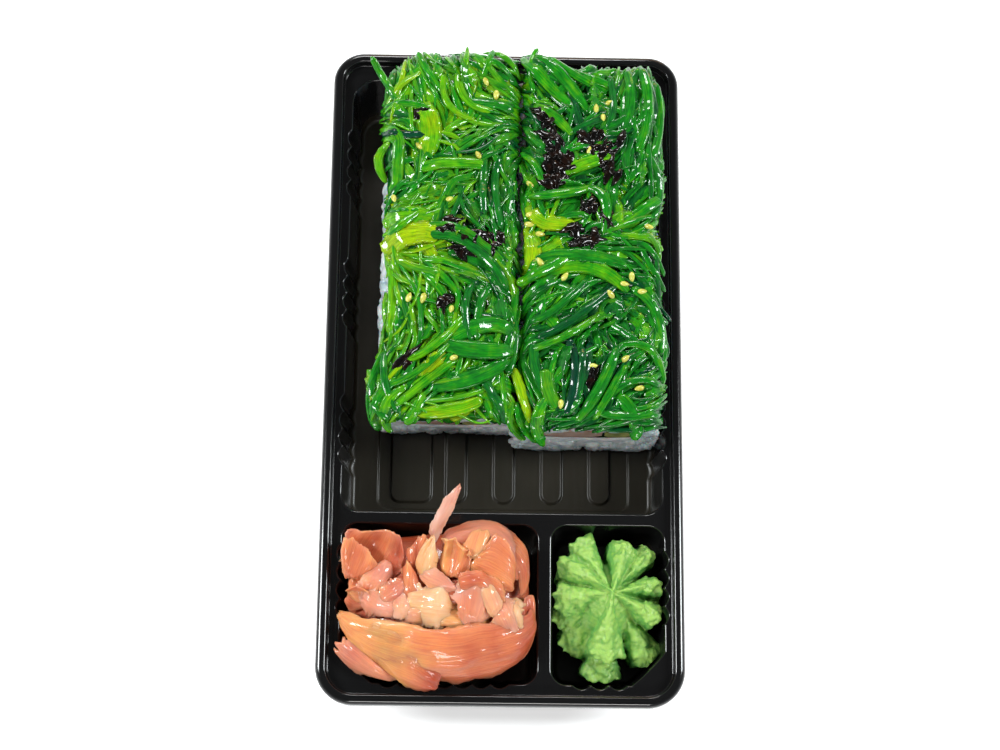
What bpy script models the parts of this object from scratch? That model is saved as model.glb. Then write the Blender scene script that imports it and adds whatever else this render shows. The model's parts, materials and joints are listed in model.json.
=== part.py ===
"""A takeaway sushi tray with its food.

It is a black formed tray with three compartments, two rows of four roll slices under seaweed salad, a heap of
pickled ginger slices and a piped rosette of wasabi. Lengths are millimetres until a mesh is made, which is in
metres. The origin is on the table under the middle of the tray. +X is to the right, +Y runs from the ginger to
the rolls' far end and +Z is up.
"""
import math
import random
from dataclasses import dataclass, field

import bmesh
import bpy
import numpy as np
from mathutils import Vector, noise

MM = 0.001
GAP = 0.3
SHORT_EDGE = 0.00004
THIN_TRIANGLE = 0.000006
MEND_ROUNDS = 8
SHARP_ANGLE = 38.0

# Tray
TRAY_WIDTH = 102.0
TRAY_LENGTH = 191.6
RIM_TOP = 24.0
DECK = 21.0
SHEET = 0.8
SKIRT_DROP = 5.2
RIM_ROUND = 0.9
BEAD_OUTER = 1.6
BEAD_INNER = 2.9
BEAD_FOOT = 3.4
NEAR_CORNER = 10.5
FAR_CORNER = 9.0
FOOT_FILLET = 1.1
FLUTE_PITCH = 5.15
FLUTE_DEPTH = 1.15
# A flute's form along the wall: places as shares of its pitch, and its depth there
FLUTE_FORM = ((-0.4, 0), (-0.16, 1), (0.16, 1), (0.4, 0))
FOOT_GROOVE = 0.8
FLOOR_GROOVE = 0.5
CORNER_SHRINK = 0.2
RIM_ARC_STEPS = 5
FLOOR = SHEET
SIDE_STEP = 0.6
RIB_HEIGHT = 0.8
RIB_DRAFT = 0.5
RIB_WIDTH = 6.0
RIB_PITCH = 14.0
RIBS = 4
RIB_NEAR = -35.5
RIB_FAR = 76.0
FIRST_RIB = -13.3
PANEL = (-32.2, -20.4, -35.4, 76.0)
PANEL_CORNER = 2.6
RECESS = (-36.0, 37.2, -38.7, 82.2)
RECESS_CORNER = 3.0

# Roll slices
ROW_WIDTH = 40.2
ROW_LEFT = (-37.0, 3.8)
ROW_NEAR = (-14.6, -19.1)
ROW_FAR = 86.8
SLICES = 4
CUT_GAP = 0.5
RICE_BOTTOM = FLOOR + RIB_HEIGHT + GAP
RICE_TOP = 26.8
RICE_BUMP = 0.3
RICE_POINTS = 16
RICE_POWER = 4.2
# A cut end's rounding: how far back from the cut, and the section's size there
CUT_ROUND = ((1.2, 1.0), (0.0, 0.97))
FAR_END_ROUND = ((4.4, 1.0), (1.4, 0.94), (0.0, 0.86))
FAR_LEAN = 3.9
NEAR_LEAN = (1.5, -0.4)
HOLE_LEFT = 5.3
HOLE_WIDTH = 30.6
HOLE_LOW = 14.2
HOLE_HIGH = 24.4
HOLE_POINTS = 12
HOLE_POWER = 3.2
HOLE_OVERSHOOT = 4.0
SHEET_OF_NORI = 0.6
NORI_MARGIN = 0.25
FILLING_MARGIN = 0.1
FILLING_POINTS = 10
FILLING_POWER = 2.9
FILLING_FIT = 0.955
FISH_SHARE = 0.66
AVOCADO_SUNK = 0.5

# Seaweed salad
BED_LOW = 27.6
BED_TOP = 33.2
BED_INNER = 0.9
BED_OUTER = 3.2
BED_END = 2.6
BED_ROWS = 13
BED_COLUMNS = 6
# A bed's hillocks: height, how close together they are, and where they are drawn from
HILLS = ((2.4, 0.11, 3.0), (1.3, 0.27, 9.0))
# How a bed falls away at its sides and ends: over what width, and by what share of its height
SIDE_FALL = (5.0, 0.62)
END_FALL = (6.0, 0.5)
LEAST_HEIGHT = 0.25
STRAND = 1.0
STRAND_TIP = 0.35
BROAD_STRAND = 4.0
BROAD_CROWN = 0.5
FLAKE_WIDTH = 4.0
SEED = (1.45, 0.95, 0.8)
SEED_SHOWS = 0.25

# Pickled ginger and wasabi
GINGER_SLICE = 1.3
GINGER_MIDDLE = (-17.4, -67.4)
HEAP_POINTS = 16
# The ginger's core: heights, half sizes in X and Y, and how square it is
GINGER_LEVELS = (
    (1.2, 23.2, 18.4, 3.4),
    (4.0, 24.6, 19.8, 3.4),
    (20.0, 25.6, 20.4, 3.4),
    (24.5, 21.5, 17.0, 2.4),
    (27.6, 13.0, 10.0, 2.4),
)
ROSETTE = (31.0, -64.0)
ROSETTE_BASE = (30.4, -66.0)
BASE_LEVELS = ((1.2, 11.5), (3.0, 12.4), (15.0, 9.5), (22.6, 2.4))
BASE_STRETCH = 1.15
TIP_RISE = 6.0


@dataclass(frozen=True)
class Opening:
    """A compartment's plan at the deck: its sides, how far each wall leans in, its corners and its flutes.

    Sides and corners go round from the near one, with X to the right. A corner is its size and its number of
    arc steps, of which one makes a chamfer. Flutes are side number to places along that side.
    """

    sides: tuple
    drafts: tuple
    corners: tuple
    flutes: dict = field(default_factory=dict)


def flute_group(first, count):
    """Places of a group of flutes, one pitch apart."""
    return [first + FLUTE_PITCH * i for i in range(count)]


LONG_WALL_FLUTES = flute_group(-25.7, 4) + flute_group(14.7, 4) + flute_group(54.4, 4)
MAIN = Opening(
    sides=(-41.9, 45.5, 88.3, -45.5),
    drafts=(2.0, 1.7, 4.7, 1.7),
    corners=((5.0, 3), (5.0, 3), (7.5, 3), (7.5, 3)),
    flutes={1: LONG_WALL_FLUTES, 3: LONG_WALL_FLUTES},
)
GINGER_CUP = Opening(
    sides=(-89.8, 10.4, -44.8, -44.9),
    drafts=(2.0, 1.7, 2.0, 1.7),
    corners=((9.5, 1), (4.5, 3), (4.5, 3), (4.5, 3)),
    flutes={0: flute_group(-31.0, 7), 3: flute_group(-69.0, 4)},
)
WASABI_CUP = Opening(
    sides=(-89.8, 46.2, -44.8, 13.8),
    drafts=(2.0, 1.7, 2.0, 1.7),
    corners=((4.5, 3), (9.5, 1), (4.5, 3), (4.5, 3)),
    flutes={0: flute_group(22.5, 3), 1: flute_group(-70.0, 4)},
)


@dataclass(frozen=True)
class Strand:
    """A strip of seaweed: its start, bend and end in plan, its width, and its lifts over the bed there."""

    start: tuple
    bend: tuple
    end: tuple
    width: float
    lift: tuple = (-0.6, 0.5, -0.6)
    steps: int = 4


@dataclass(frozen=True)
class Slice:
    """A slice of ginger by its four corners in order round it, its crown and its wave."""

    corners: tuple
    crown: float
    wave: float = 0.0
    cells: tuple = (3, 3)
    thickness: float = GINGER_SLICE


def clear_scene():
    """Removes what the file opened with."""
    for item in list(bpy.data.objects):
        bpy.data.objects.remove(item, do_unlink=True)
    for group in list(bpy.data.collections):
        bpy.data.collections.remove(group)


def new_collection(name):
    """A collection in the scene."""
    group = bpy.data.collections.new(name)
    bpy.context.scene.collection.children.link(group)
    return group


def finish(name, colour, roughness, subsurface=0.0):
    """A Principled material of one colour."""
    material = bpy.data.materials.new(name)
    material.use_nodes = True
    shader = material.node_tree.nodes["Principled BSDF"]
    shader.inputs["Base Color"].default_value = (*colour, 1.0)
    shader.inputs["Roughness"].default_value = roughness
    shader.inputs["Metallic"].default_value = 0.0
    shader.inputs["Subsurface Weight"].default_value = subsurface
    return material


def facing_out(points, faces):
    """The triangles of a closed body, turned so that they face outwards: its volume comes out positive."""
    faces = np.asarray(faces, int)
    a, b, c = (points[faces[:, k]] for k in range(3))
    volume = np.einsum("ij,ij->", a, np.cross(b, c))
    return faces if volume > 0 else faces[:, ::-1]


def solid(name, points, faces, material, group):
    """An object of the given points, in millimetres, and the triangles between them."""
    points = np.asarray(points, float)
    mesh = bpy.data.meshes.new(name)
    mesh.from_pydata((points * MM).tolist(), [], facing_out(points, faces).tolist())
    mesh.materials.append(material)
    mesh.shade_smooth()
    mesh.set_sharp_from_angle(angle=math.radians(SHARP_ANGLE))
    item = bpy.data.objects.new(name, mesh)
    group.objects.link(item)
    return item


def evaluated_mesh(item):
    """The object's mesh with its modifiers applied."""
    graph = bpy.context.evaluated_depsgraph_get()
    graph.update()
    return bpy.data.meshes.new_from_object(item.evaluated_get(graph))


def apply_modifiers(item):
    """Puts the evaluated mesh in place of the object's own and drops its modifiers."""
    mesh = evaluated_mesh(item)
    item.modifiers.clear()
    item.data = mesh
    mesh.name = item.name


def loft(rings):
    """Points and triangles of a closed body through rings of one size, flat at both ends."""
    rings = [np.asarray(ring, float) for ring in rings]
    count = len(rings[0])
    faces = []
    for level in range(len(rings) - 1):
        for i in range(count):
            j = (i + 1) % count
            low = level * count
            high = low + count
            faces.append((low + i, low + j, high + j))
            faces.append((low + i, high + j, high + i))
    last = (len(rings) - 1) * count
    faces += [(0, i + 1, i) for i in range(1, count - 1)]
    faces += [(last, last + i, last + i + 1) for i in range(1, count - 1)]
    return np.concatenate(rings), faces


def sheet_solid(surface, thickness):
    """Points and triangles of a thin closed body about a grid of points."""
    across = np.gradient(surface, axis=0)
    along = np.gradient(surface, axis=1)
    normal = np.cross(across, along)
    normal /= np.linalg.norm(normal, axis=2, keepdims=True)
    return two_faced((surface + normal * thickness / 2, surface - normal * thickness / 2))


def two_faced(grids):
    """Points and triangles of a closed body between two grids of one size, both faces split alike."""
    rows, columns = grids[0].shape[:2]
    offset = rows * columns
    faces = []
    for i in range(rows - 1):
        for j in range(columns - 1):
            a = i * columns + j
            b = a + columns
            for triangle in ((a, b, b + 1), (a, b + 1, a + 1)):
                faces.append(triangle)
                faces.append(tuple(offset + k for k in reversed(triangle)))
    border = list(range(columns))
    border += [i * columns + columns - 1 for i in range(1, rows)]
    border += [(rows - 1) * columns + j for j in range(columns - 2, -1, -1)]
    border += [i * columns for i in range(rows - 2, 0, -1)]
    for a, b in zip(border, border[1:] + border[:1]):
        faces.append((a, b, offset + b))
        faces.append((a, offset + b, offset + a))
    return np.concatenate([grid.reshape(-1, 3) for grid in grids]), faces


def fuse(core, pieces, group):
    """Joins pieces to their core by one union and keeps the outer body alone."""
    core.modifiers.new("Union", "BOOLEAN")
    union = core.modifiers["Union"]
    union.operation = "UNION"
    union.operand_type = "COLLECTION"
    union.collection = group
    union.solver = "EXACT"
    apply_modifiers(core)
    for piece in pieces:
        bpy.data.objects.remove(piece, do_unlink=True)
    keep_outer_body(core)


def island_faces(bm):
    """Groups of faces that hang together."""
    left = set(bm.faces)
    islands = []
    while left:
        queue = [left.pop()]
        island = []
        while queue:
            face = queue.pop()
            island.append(face)
            for edge in face.edges:
                for other in edge.link_faces:
                    if other in left:
                        left.remove(other)
                        queue.append(other)
        islands.append(island)
    return islands


def can_collapse(edge):
    """Whether the surface stays closed and simple when an edge shrinks to a point."""
    a, b = edge.verts
    around_a = {other.other_vert(a) for other in a.link_edges}
    around_b = {other.other_vert(b) for other in b.link_edges}
    return len(around_a & around_b) == 2


def can_turn(edge):
    """Whether an edge can be turned inside the two triangles beside it."""
    ends = [vertex for face in edge.link_faces for vertex in face.verts if vertex not in edge.verts]
    return len(ends) == 2 and not any(other.other_vert(ends[0]) is ends[1] for other in ends[0].link_edges)


def collapse_short_edges(bm):
    """Shrinks the shortest edges to points, one at a time."""
    while True:
        short = [edge for edge in bm.edges if edge.calc_length() < SHORT_EDGE and can_collapse(edge)]
        if not short:
            return
        a, b = min(short, key=lambda edge: edge.calc_length()).verts
        bmesh.ops.weld_verts(bm, targetmap={b: a})


def turn_long_edges(bm):
    """Turns the long edge of each triangle that is thinner than it may be. Gives how many were turned."""
    turned = 0
    for face in bm.faces[:]:
        if not face.is_valid:
            continue
        longest = max(face.edges, key=lambda edge: edge.calc_length())
        if 2 * face.calc_area() / longest.calc_length() < THIN_TRIANGLE and can_turn(longest):
            turned += bmesh.utils.edge_rotate(longest, True) is not None
    return turned


def keep_outer_body(item):
    """Drops loose scraps and sealed hollows, and mends the thin triangles that a union leaves."""
    bm = bmesh.new()
    bm.from_mesh(item.data)
    islands = island_faces(bm)
    largest = max(islands, key=lambda faces: sum(face.calc_area() for face in faces))
    scraps = [face for island in islands if island is not largest for face in island]
    bmesh.ops.delete(bm, geom=scraps, context="FACES")
    bmesh.ops.triangulate(bm, faces=bm.faces[:])
    for _ in range(MEND_ROUNDS):
        collapse_short_edges(bm)
        if not turn_long_edges(bm):
            break
    bm.to_mesh(item.data)
    bm.free()


def plan_ring(opening, drop, grow=0.0, groove=1.0):
    """Points round a compartment: drop is 0 at the deck and 1 at the floor, and grow widens the plan."""
    near, right, far, left = opening.sides
    draft = [lean * drop - grow for lean in opening.drafts]
    low = (left + draft[3], near + draft[0])
    high = (right - draft[1], far - draft[2])
    sizes = [size * (1 - CORNER_SHRINK * drop) + grow for size, steps in opening.corners]
    starts = ((low[0], low[1]), (high[0], low[1]), (high[0], high[1]), (low[0], high[1]))
    directions = ((1, 0), (0, 1), (-1, 0), (0, -1))
    ring = []
    for side, (dx, dy) in enumerate(directions):
        outward = (dy, -dx)
        corner = starts[side]
        places = sorted(opening.flutes.get(side, ()), reverse=dx + dy < 0)
        for place in places:
            for offset, depth in FLUTE_FORM:
                along = place + offset * FLUTE_PITCH * (dx + dy)
                reach = depth * groove * FLUTE_DEPTH
                base = (along, corner[1]) if dx else (corner[0], along)
                ring.append((base[0] + outward[0] * reach, base[1] + outward[1] * reach))
        turn = (side + 1) % 4
        size = sizes[turn]
        steps = opening.corners[turn][1]
        centre = (
            starts[turn][0] - size * (dx + outward[0]),
            starts[turn][1] - size * (dy + outward[1]),
        )
        for step in range(steps + 1):
            angle = math.pi / 2 * step / steps
            ring.append((
                centre[0] + size * (outward[0] * math.cos(angle) + dx * math.sin(angle)),
                centre[1] + size * (outward[1] * math.cos(angle) + dy * math.sin(angle)),
            ))
    return ring


def rim_ring(inset):
    """Points round the tray in plan, inset from its outside."""
    half = TRAY_WIDTH / 2 - inset
    end = TRAY_LENGTH / 2 - inset
    near = (NEAR_CORNER - inset, RIM_ARC_STEPS)
    far = (FAR_CORNER - inset, RIM_ARC_STEPS)
    return plan_ring(Opening((-end, half, end, -half), (0, 0, 0, 0), (near, near, far, far)), 0)


def pill_ring(x0, x1, y0, y1, radius, steps, inset):
    """Points round a pad with round corners in plan."""
    corner = (radius - inset, steps)
    sides = (y0 + inset, x1 - inset, y1 - inset, x0 + inset)
    ring = plan_ring(Opening(sides, (0, 0, 0, 0), (corner,) * 4), 0)
    kept = []
    for point in ring:
        if not kept or math.dist(point, kept[-1]) > 0.01:
            kept.append(point)
    if math.dist(kept[0], kept[-1]) < 0.01:
        kept.pop()
    return kept


def lay_ring(bm, points, height):
    """Points of a ring as vertices at a height."""
    return [bm.verts.new((x * MM, y * MM, height * MM)) for x, y in points]


def bridge(bm, first, second):
    """Faces between two rings of one size."""
    count = len(first)
    for i in range(count):
        j = (i + 1) % count
        bm.faces.new((first[i], first[j], second[j], second[i]))


def fill(bm, rings):
    """Flat faces inside the first ring and outside the others."""
    edges = []
    for ring in rings:
        for a, b in zip(ring, ring[1:] + ring[:1]):
            edges.append(bm.edges.get((a, b)) or bm.edges.new((a, b)))
    made = bmesh.ops.triangle_fill(bm, use_beauty=True, edges=edges, normal=(0, 0, 1))["geom"]
    faces = [item for item in made if isinstance(item, bmesh.types.BMFace)]
    empty = [face for face in faces if face.calc_area() < MM ** 2 * 1e-3]
    bmesh.ops.delete(bm, geom=empty, context="FACES")


def lay_wall(bm, opening, floor):
    """A compartment's wall from the deck to its floor, and the rings at both."""
    deck_ring = lay_ring(bm, plan_ring(opening, 0.0), DECK)
    foot_drop = 1 - FOOT_FILLET / DECK
    foot_ring = lay_ring(bm, plan_ring(opening, foot_drop, groove=FOOT_GROOVE), floor + FOOT_FILLET)
    floor_plan = plan_ring(opening, 1.0, grow=-FOOT_FILLET / 2, groove=FLOOR_GROOVE)
    floor_ring = lay_ring(bm, floor_plan, floor)
    bridge(bm, deck_ring, foot_ring)
    bridge(bm, foot_ring, floor_ring)
    return deck_ring, floor_ring


def lay_pad(bm, outlines, heights):
    """A raised pad through two outlines, closed at its top. Gives its foot."""
    foot = lay_ring(bm, outlines[0], heights[0])
    top = lay_ring(bm, outlines[1], heights[1])
    bridge(bm, foot, top)
    fill(bm, [top])
    return foot


def main_floor(bm, wall_foot):
    """The main compartment's floor: side steps, a lower middle, four ribs and a plain raised panel."""
    step = lay_ring(bm, pill_ring(*RECESS, RECESS_CORNER, 1, 0.0), FLOOR + SIDE_STEP)
    middle = lay_ring(bm, pill_ring(*RECESS, RECESS_CORNER, 1, RIB_DRAFT), FLOOR)
    fill(bm, [wall_foot, step])
    bridge(bm, step, middle)
    feet = []
    heights = (FLOOR, FLOOR + RIB_HEIGHT)
    for i in range(RIBS):
        centre = FIRST_RIB + RIB_PITCH * i
        span = (centre - RIB_WIDTH / 2, centre + RIB_WIDTH / 2, RIB_NEAR, RIB_FAR)
        outlines = [pill_ring(*span, RIB_WIDTH / 2, 2, inset) for inset in (0.0, RIB_DRAFT)]
        feet.append(lay_pad(bm, outlines, heights))
    outlines = [pill_ring(*PANEL, PANEL_CORNER, 2, inset) for inset in (0.0, RIB_DRAFT)]
    feet.append(lay_pad(bm, outlines, heights))
    fill(bm, [middle] + feet)


def lay_rim(bm):
    """The raised bead and skirt round the deck. Gives the ring where the deck starts."""
    levels = (
        (BEAD_FOOT, DECK),
        (BEAD_INNER, RIM_TOP),
        (BEAD_OUTER, RIM_TOP),
        (RIM_ROUND * 0.4, RIM_TOP - RIM_ROUND * 0.6),
        (0.0, RIM_TOP - RIM_ROUND * 2),
        (0.0, RIM_TOP - SKIRT_DROP),
    )
    rings = [lay_ring(bm, rim_ring(inset), height) for inset, height in levels]
    for inner, outer in zip(rings, rings[1:]):
        bridge(bm, inner, outer)
    return rings[0]


def make_tray(group, material):
    """The tray: one open formed surface with the sheet's thickness under it."""
    bm = bmesh.new()
    deck_edge = lay_rim(bm)
    main_deck, main_foot = lay_wall(bm, MAIN, FLOOR + SIDE_STEP)
    cups = [lay_wall(bm, cup, FLOOR) for cup in (GINGER_CUP, WASABI_CUP)]
    fill(bm, [deck_edge, main_deck] + [deck for deck, foot in cups])
    main_floor(bm, main_foot)
    for deck, foot in cups:
        fill(bm, [foot])
    bmesh.ops.recalc_face_normals(bm, faces=bm.faces[:])
    highest = max(bm.faces, key=lambda face: face.calc_center_median().z)
    if highest.normal.z < 0:
        bmesh.ops.reverse_faces(bm, faces=bm.faces[:])
    bmesh.ops.triangulate(bm, faces=bm.faces[:])
    mesh = bpy.data.meshes.new("tray")
    bm.to_mesh(mesh)
    bm.free()
    mesh.materials.append(material)
    mesh.shade_smooth()
    mesh.set_sharp_from_angle(angle=math.radians(SHARP_ANGLE))
    item = bpy.data.objects.new("tray", mesh)
    group.objects.link(item)
    wall = item.modifiers.new("Sheet", "SOLIDIFY")
    wall.thickness = SHEET * MM
    wall.offset = -1.0
    wall.use_even_offset = True
    wall.use_quality_normals = True
    return item


def rounded_section(centre, half, power, count):
    """Points of a rounded rectangle in X and Z, anticlockwise seen from the near end: a superellipse."""
    angles = 2 * math.pi * (np.arange(count) + 0.5) / count
    cosine = np.cos(angles)
    sine = np.sin(angles)
    x = centre[0] + half[0] * np.sign(cosine) * np.abs(cosine) ** (2 / power)
    z = centre[1] + half[1] * np.sign(sine) * np.abs(sine) ** (2 / power)
    return np.stack([x, z], 1)


@dataclass(frozen=True)
class Cuts:
    """A slice's two cuts: their places along the row, and how far each leans with height."""

    near: float
    far: float
    near_lean: float
    far_lean: float

    def shift(self, height, along):
        """How far a point moves along the row with the cuts' lean, by its height and place along the row."""
        share = min(1.0, max(0.0, (height - RICE_BOTTOM) / (DECK - RICE_BOTTOM)))
        part = min(1.0, max(0.0, (along - self.near) / (self.far - self.near)))
        return -self.near_lean * share * (1 - part) + self.far_lean * (share - 1) * part


def rice_ring(section, y, shrink, centre, cuts):
    """A ring of a roll slice's outside at one place along the row, its points put off by grains of rice."""
    ring = []
    for x, z in section:
        x = centre[0] + (x - centre[0]) * shrink
        z = centre[1] + (z - centre[1]) * shrink
        swell = RICE_BUMP * noise.noise(Vector((x, y, z)) * 0.23)
        reach = math.hypot(x - centre[0], z - centre[1])
        x += swell * (x - centre[0]) / reach
        z += swell * (z - centre[1]) / reach
        ring.append((x, y + cuts.shift(z, y), z))
    return ring


def make_slice(label, left, cuts, group, finishes):
    """One roll slice: rice round a sheet of seaweed, with fish and avocado through it."""
    centre = (left + ROW_WIDTH / 2, (RICE_BOTTOM + RICE_TOP) / 2)
    half = (ROW_WIDTH / 2, (RICE_TOP - RICE_BOTTOM) / 2)
    outside = rounded_section(centre, half, RICE_POWER, RICE_POINTS)
    stations = [(cuts.near + back, shrink) for back, shrink in reversed(CUT_ROUND)]
    stations.append(((cuts.near + cuts.far) / 2, 1.0))
    far_round = FAR_END_ROUND if cuts.far_lean else CUT_ROUND
    stations += [(cuts.far - back, shrink) for back, shrink in far_round]
    rings = [rice_ring(outside, y, shrink, centre, cuts) for y, shrink in stations]
    rice = solid(f"rice_{label}", *loft(rings), finishes["rice"], group)

    hole_centre = (left + HOLE_LEFT + HOLE_WIDTH / 2, (HOLE_LOW + HOLE_HIGH) / 2)
    hole_half = (HOLE_WIDTH / 2, (HOLE_HIGH - HOLE_LOW) / 2)

    def straight(section, margin):
        """Rings of a straight body through the slice, short of both cuts by a margin."""
        first = [(x, cuts.near + margin + cuts.shift(z, cuts.near), z) for x, z in section]
        last = [(x, cuts.far - margin + cuts.shift(z, cuts.far), z) for x, z in section]
        return first, last

    def tunnel(inset, margin):
        """Rings of the hole's own form, inset from it."""
        inside = (hole_half[0] - inset, hole_half[1] - inset)
        return straight(rounded_section(hole_centre, inside, HOLE_POWER, HOLE_POINTS), margin)

    cutters = bpy.data.collections["cutters"]
    cutter = solid(f"tunnel_{label}", *loft(tunnel(0.0, -HOLE_OVERSHOOT)), finishes["rice"], cutters)
    cut = rice.modifiers.new("Tunnel", "BOOLEAN")
    cut.operation = "DIFFERENCE"
    cut.object = cutter
    cut.solver = "EXACT"
    apply_modifiers(rice)
    bpy.data.objects.remove(cutter, do_unlink=True)

    outer = tunnel(GAP, NORI_MARGIN)
    inner = tunnel(GAP + SHEET_OF_NORI, NORI_MARGIN)
    solid(f"nori_{label}", *pipe(outer, inner), finishes["nori"], group)

    room = 2 * GAP + SHEET_OF_NORI
    low = HOLE_LOW + room
    high = HOLE_HIGH - room
    start = left + HOLE_LEFT + room
    width = HOLE_WIDTH - 2 * room
    fish_width = width * FISH_SHARE
    spans = (
        ("fish", start, fish_width - GAP / 2, 0.0),
        ("avocado", start + fish_width + GAP / 2, width - fish_width - GAP / 2, AVOCADO_SUNK),
    )
    for kind, x0, span, sunk in spans:
        middle = (x0 + span / 2, (low + high) / 2 - sunk)
        size = (span / 2, (high - low) / 2 - sunk - FILLING_MARGIN)
        section = rounded_section(middle, size, FILLING_POWER, FILLING_POINTS)
        section = fit_inside(section, hole_centre, (hole_half[0] - room, hole_half[1] - room))
        solid(f"{kind}_{label}", *loft(straight(section, FILLING_MARGIN)), finishes[kind], group)


def fit_inside(section, centre, half):
    """Draws points of a section in to the hole's form where they would cross it."""
    fitted = []
    for x, z in section:
        u = abs(x - centre[0]) / half[0]
        v = abs(z - centre[1]) / half[1]
        size = (u ** HOLE_POWER + v ** HOLE_POWER) ** (1 / HOLE_POWER)
        scale = min(1.0, FILLING_FIT / size)
        fitted.append((centre[0] + (x - centre[0]) * scale, centre[1] + (z - centre[1]) * scale))
    return fitted


def pipe(outer, inner):
    """Points and faces of a closed tube wall between two pairs of end rings."""
    count = len(outer[0])
    points = np.concatenate([np.asarray(ring, float) for ring in (*outer, *inner)])
    faces = []
    quads = ((0, 1), (3, 2), (2, 0), (1, 3))
    for first, second in quads:
        for i in range(count):
            j = (i + 1) % count
            a, b = first * count + i, first * count + j
            c, d = second * count + j, second * count + i
            faces.append((a, b, c))
            faces.append((a, c, d))
    return points, faces


def make_rows(group, finishes):
    """Two rows of roll slices, their cuts along X."""
    for side, left, near, near_lean in zip(("left", "right"), ROW_LEFT, ROW_NEAR, NEAR_LEAN):
        length = (ROW_FAR - near) / SLICES
        for i in range(SLICES):
            cuts = Cuts(
                near=near + length * i + CUT_GAP / 2,
                far=near + length * (i + 1) - CUT_GAP / 2,
                near_lean=near_lean if i == 0 else 0.0,
                far_lean=FAR_LEAN if i == SLICES - 1 else 0.0,
            )
            make_slice(f"{side}_{i + 1}", left, cuts, group, finishes)


@dataclass(frozen=True)
class Bed:
    """A bed of salad on a row: its outline in plan."""

    x0: float
    x1: float
    y0: float
    y1: float

    def top(self, x, y):
        """Height of the bed over a place: low hillocks that fall away at the sides and ends."""
        hill = sum(height * noise.noise(Vector((x, y, z)) * close) for height, close, z in HILLS)
        side = min(1.0, max(0.0, min(x - self.x0, self.x1 - x) / SIDE_FALL[0]))
        end = min(1.0, max(0.0, min(y - self.y0, self.y1 - y) / END_FALL[0]))
        shoulder = 1 - (1 - side) ** 2 * SIDE_FALL[1] - (1 - end) ** 2 * END_FALL[1]
        return BED_LOW + (BED_TOP - BED_LOW + hill) * max(LEAST_HEIGHT, shoulder)


BEDS = {"left": Bed(-35.8, 3.2, -16.6, 90.4), "right": Bed(5.0, 45.2, -19.2, 88.8)}

STRANDS = {
    "left": (
        Strand((-29, 71), (-34, 81), (-39.5, 90), 2.2, (-1.2, 0.9, 3.0)),
        Strand((-34, 63), (-38.6, 58), (-34, 52), 3.4, (-0.9, -0.4, -0.9)),
        Strand((-25, 56.5), (-16, 57.5), (-7, 57), 3.4, (-0.9, 0.6, -0.9), 4),
        Strand((-13, 77), (-5, 76.5), (1.5, 74), 3.0, (-0.9, 0.6, -0.3), 4),
        Strand((-35, 46), (-27, 41), (-18, 33), 8.0, (-0.8, 0.5, -0.8), 4),
        Strand((-35, 67), (-29, 66), (-21, 67), 3.0, (-0.9, 0.5, -0.9), 4),
        Strand((-18, 8), (-6, 10), (2, 5), 4.2, (-0.9, 0.6, -0.4)),
        Strand((-19, 5), (-8, 1), (1.5, -3), 4.2, (-0.9, 0.7, -0.4)),
        Strand((-20, 1), (-10, -6), (-2, -10), 3.6, (-0.9, 0.6, -0.8)),
        Strand((-30, -6), (-35, -15.5), (-33, -22), 6.0, (-0.9, -0.4, -9.0)),
        Strand((-22, -10), (-24, -16.6), (-21, -20.5), 5.0, (-0.9, -0.2, -3.6), 4),
        Strand((-9, 82), (-5, 90), (-1, 94.5), 2.4, (-1.0, 0.2, 2.0), 4),
        Strand((-31, 31), (-22, 22), (-13, 29), 3.0, (-1.0, 0.5, -1.0)),
        Strand((-34, 19), (-26, 8), (-31, -4), 3.4, (-1.0, 0.5, -1.0)),
    ),
    "right": (
        Strand((6.4, 49), (20, 53), (28.5, 35), 3.4, (-0.4, 0.8, -0.9), 6),
        Strand((6.4, 62), (8, 56), (12, 49), 2.6, (-0.4, 0.6, -0.9), 4),
        Strand((6.4, 24), (12, 22), (21, 15), 2.8, (-0.4, 0.6, -0.9), 4),
        Strand((8, 27), (22, 27.5), (34, 20), 4.6, (-0.8, 0.6, -0.9), 4),
        Strand((18, 4), (24, -6), (23, -16), 2.8, (-0.9, 0.5, -0.9), 4),
        Strand((20, -17), (26, -8), (33, 3), 3.4, (-0.9, 0.7, -0.9), 5),
        Strand((36, 19), (42, 18), (47.4, 12), 1.8, (-0.9, 0.2, 0.6), 4),
        Strand((10, -10), (8, -18.6), (8.5, -24.5), 5.4, (-0.9, -0.3, -8.0)),
        Strand((30, 81), (21, 86), (12, 93.0), 2.4, (-1.0, 0.4, 1.4), 4),
        Strand((35, 71), (42, 62), (39, 51), 3.2, (-1.0, 0.4, -1.0)),
        Strand((43, 45), (38, 34), (42, 25), 3.0, (-1.0, 0.5, -1.0)),
        Strand((11, 13), (18, 4), (9, -5), 3.4, (-1.0, 0.5, -1.0)),
        Strand((43, 5), (38, -6), (43, -14), 3.4, (-1.0, 0.5, -1.0)),
        Strand((32, -10), (37, -17.6), (36, -22.5), 4.4, (-0.9, -0.2, -3.4), 4),
    ),
}

FLAKES = {
    "left": ((-16, 38), (-8, 34), (-20, 68)),
    "right": ((14, 68), (22, 62), (30, 57), (14, 56), (30, 41), (24, 32)),
}

SEEDS = {
    "left": (
        (-6, 83), (-3, 79), (-25, 63), (-8, 60), (-31, 48), (-16, 47), (-27, 17), (-23, 17), (-15, 14),
    ),
    "right": (
        (30, 77), (26, 74), (8, 53), (8, 43), (11, 37), (41, 39), (17, 24), (34, 22), (30, 17), (34, 0),
        (25, -3),
    ),
}


def curve_points(start, bend, end, steps):
    """Places on a smooth curve from start to end that passes the bend half way."""
    start, bend, end = (np.asarray(point, float) for point in (start, bend, end))
    control = 2 * bend - (start + end) / 2
    t = np.linspace(0, 1, steps + 1)[:, None]
    return (1 - t) ** 2 * start + 2 * t * (1 - t) * control + t ** 2 * end


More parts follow.
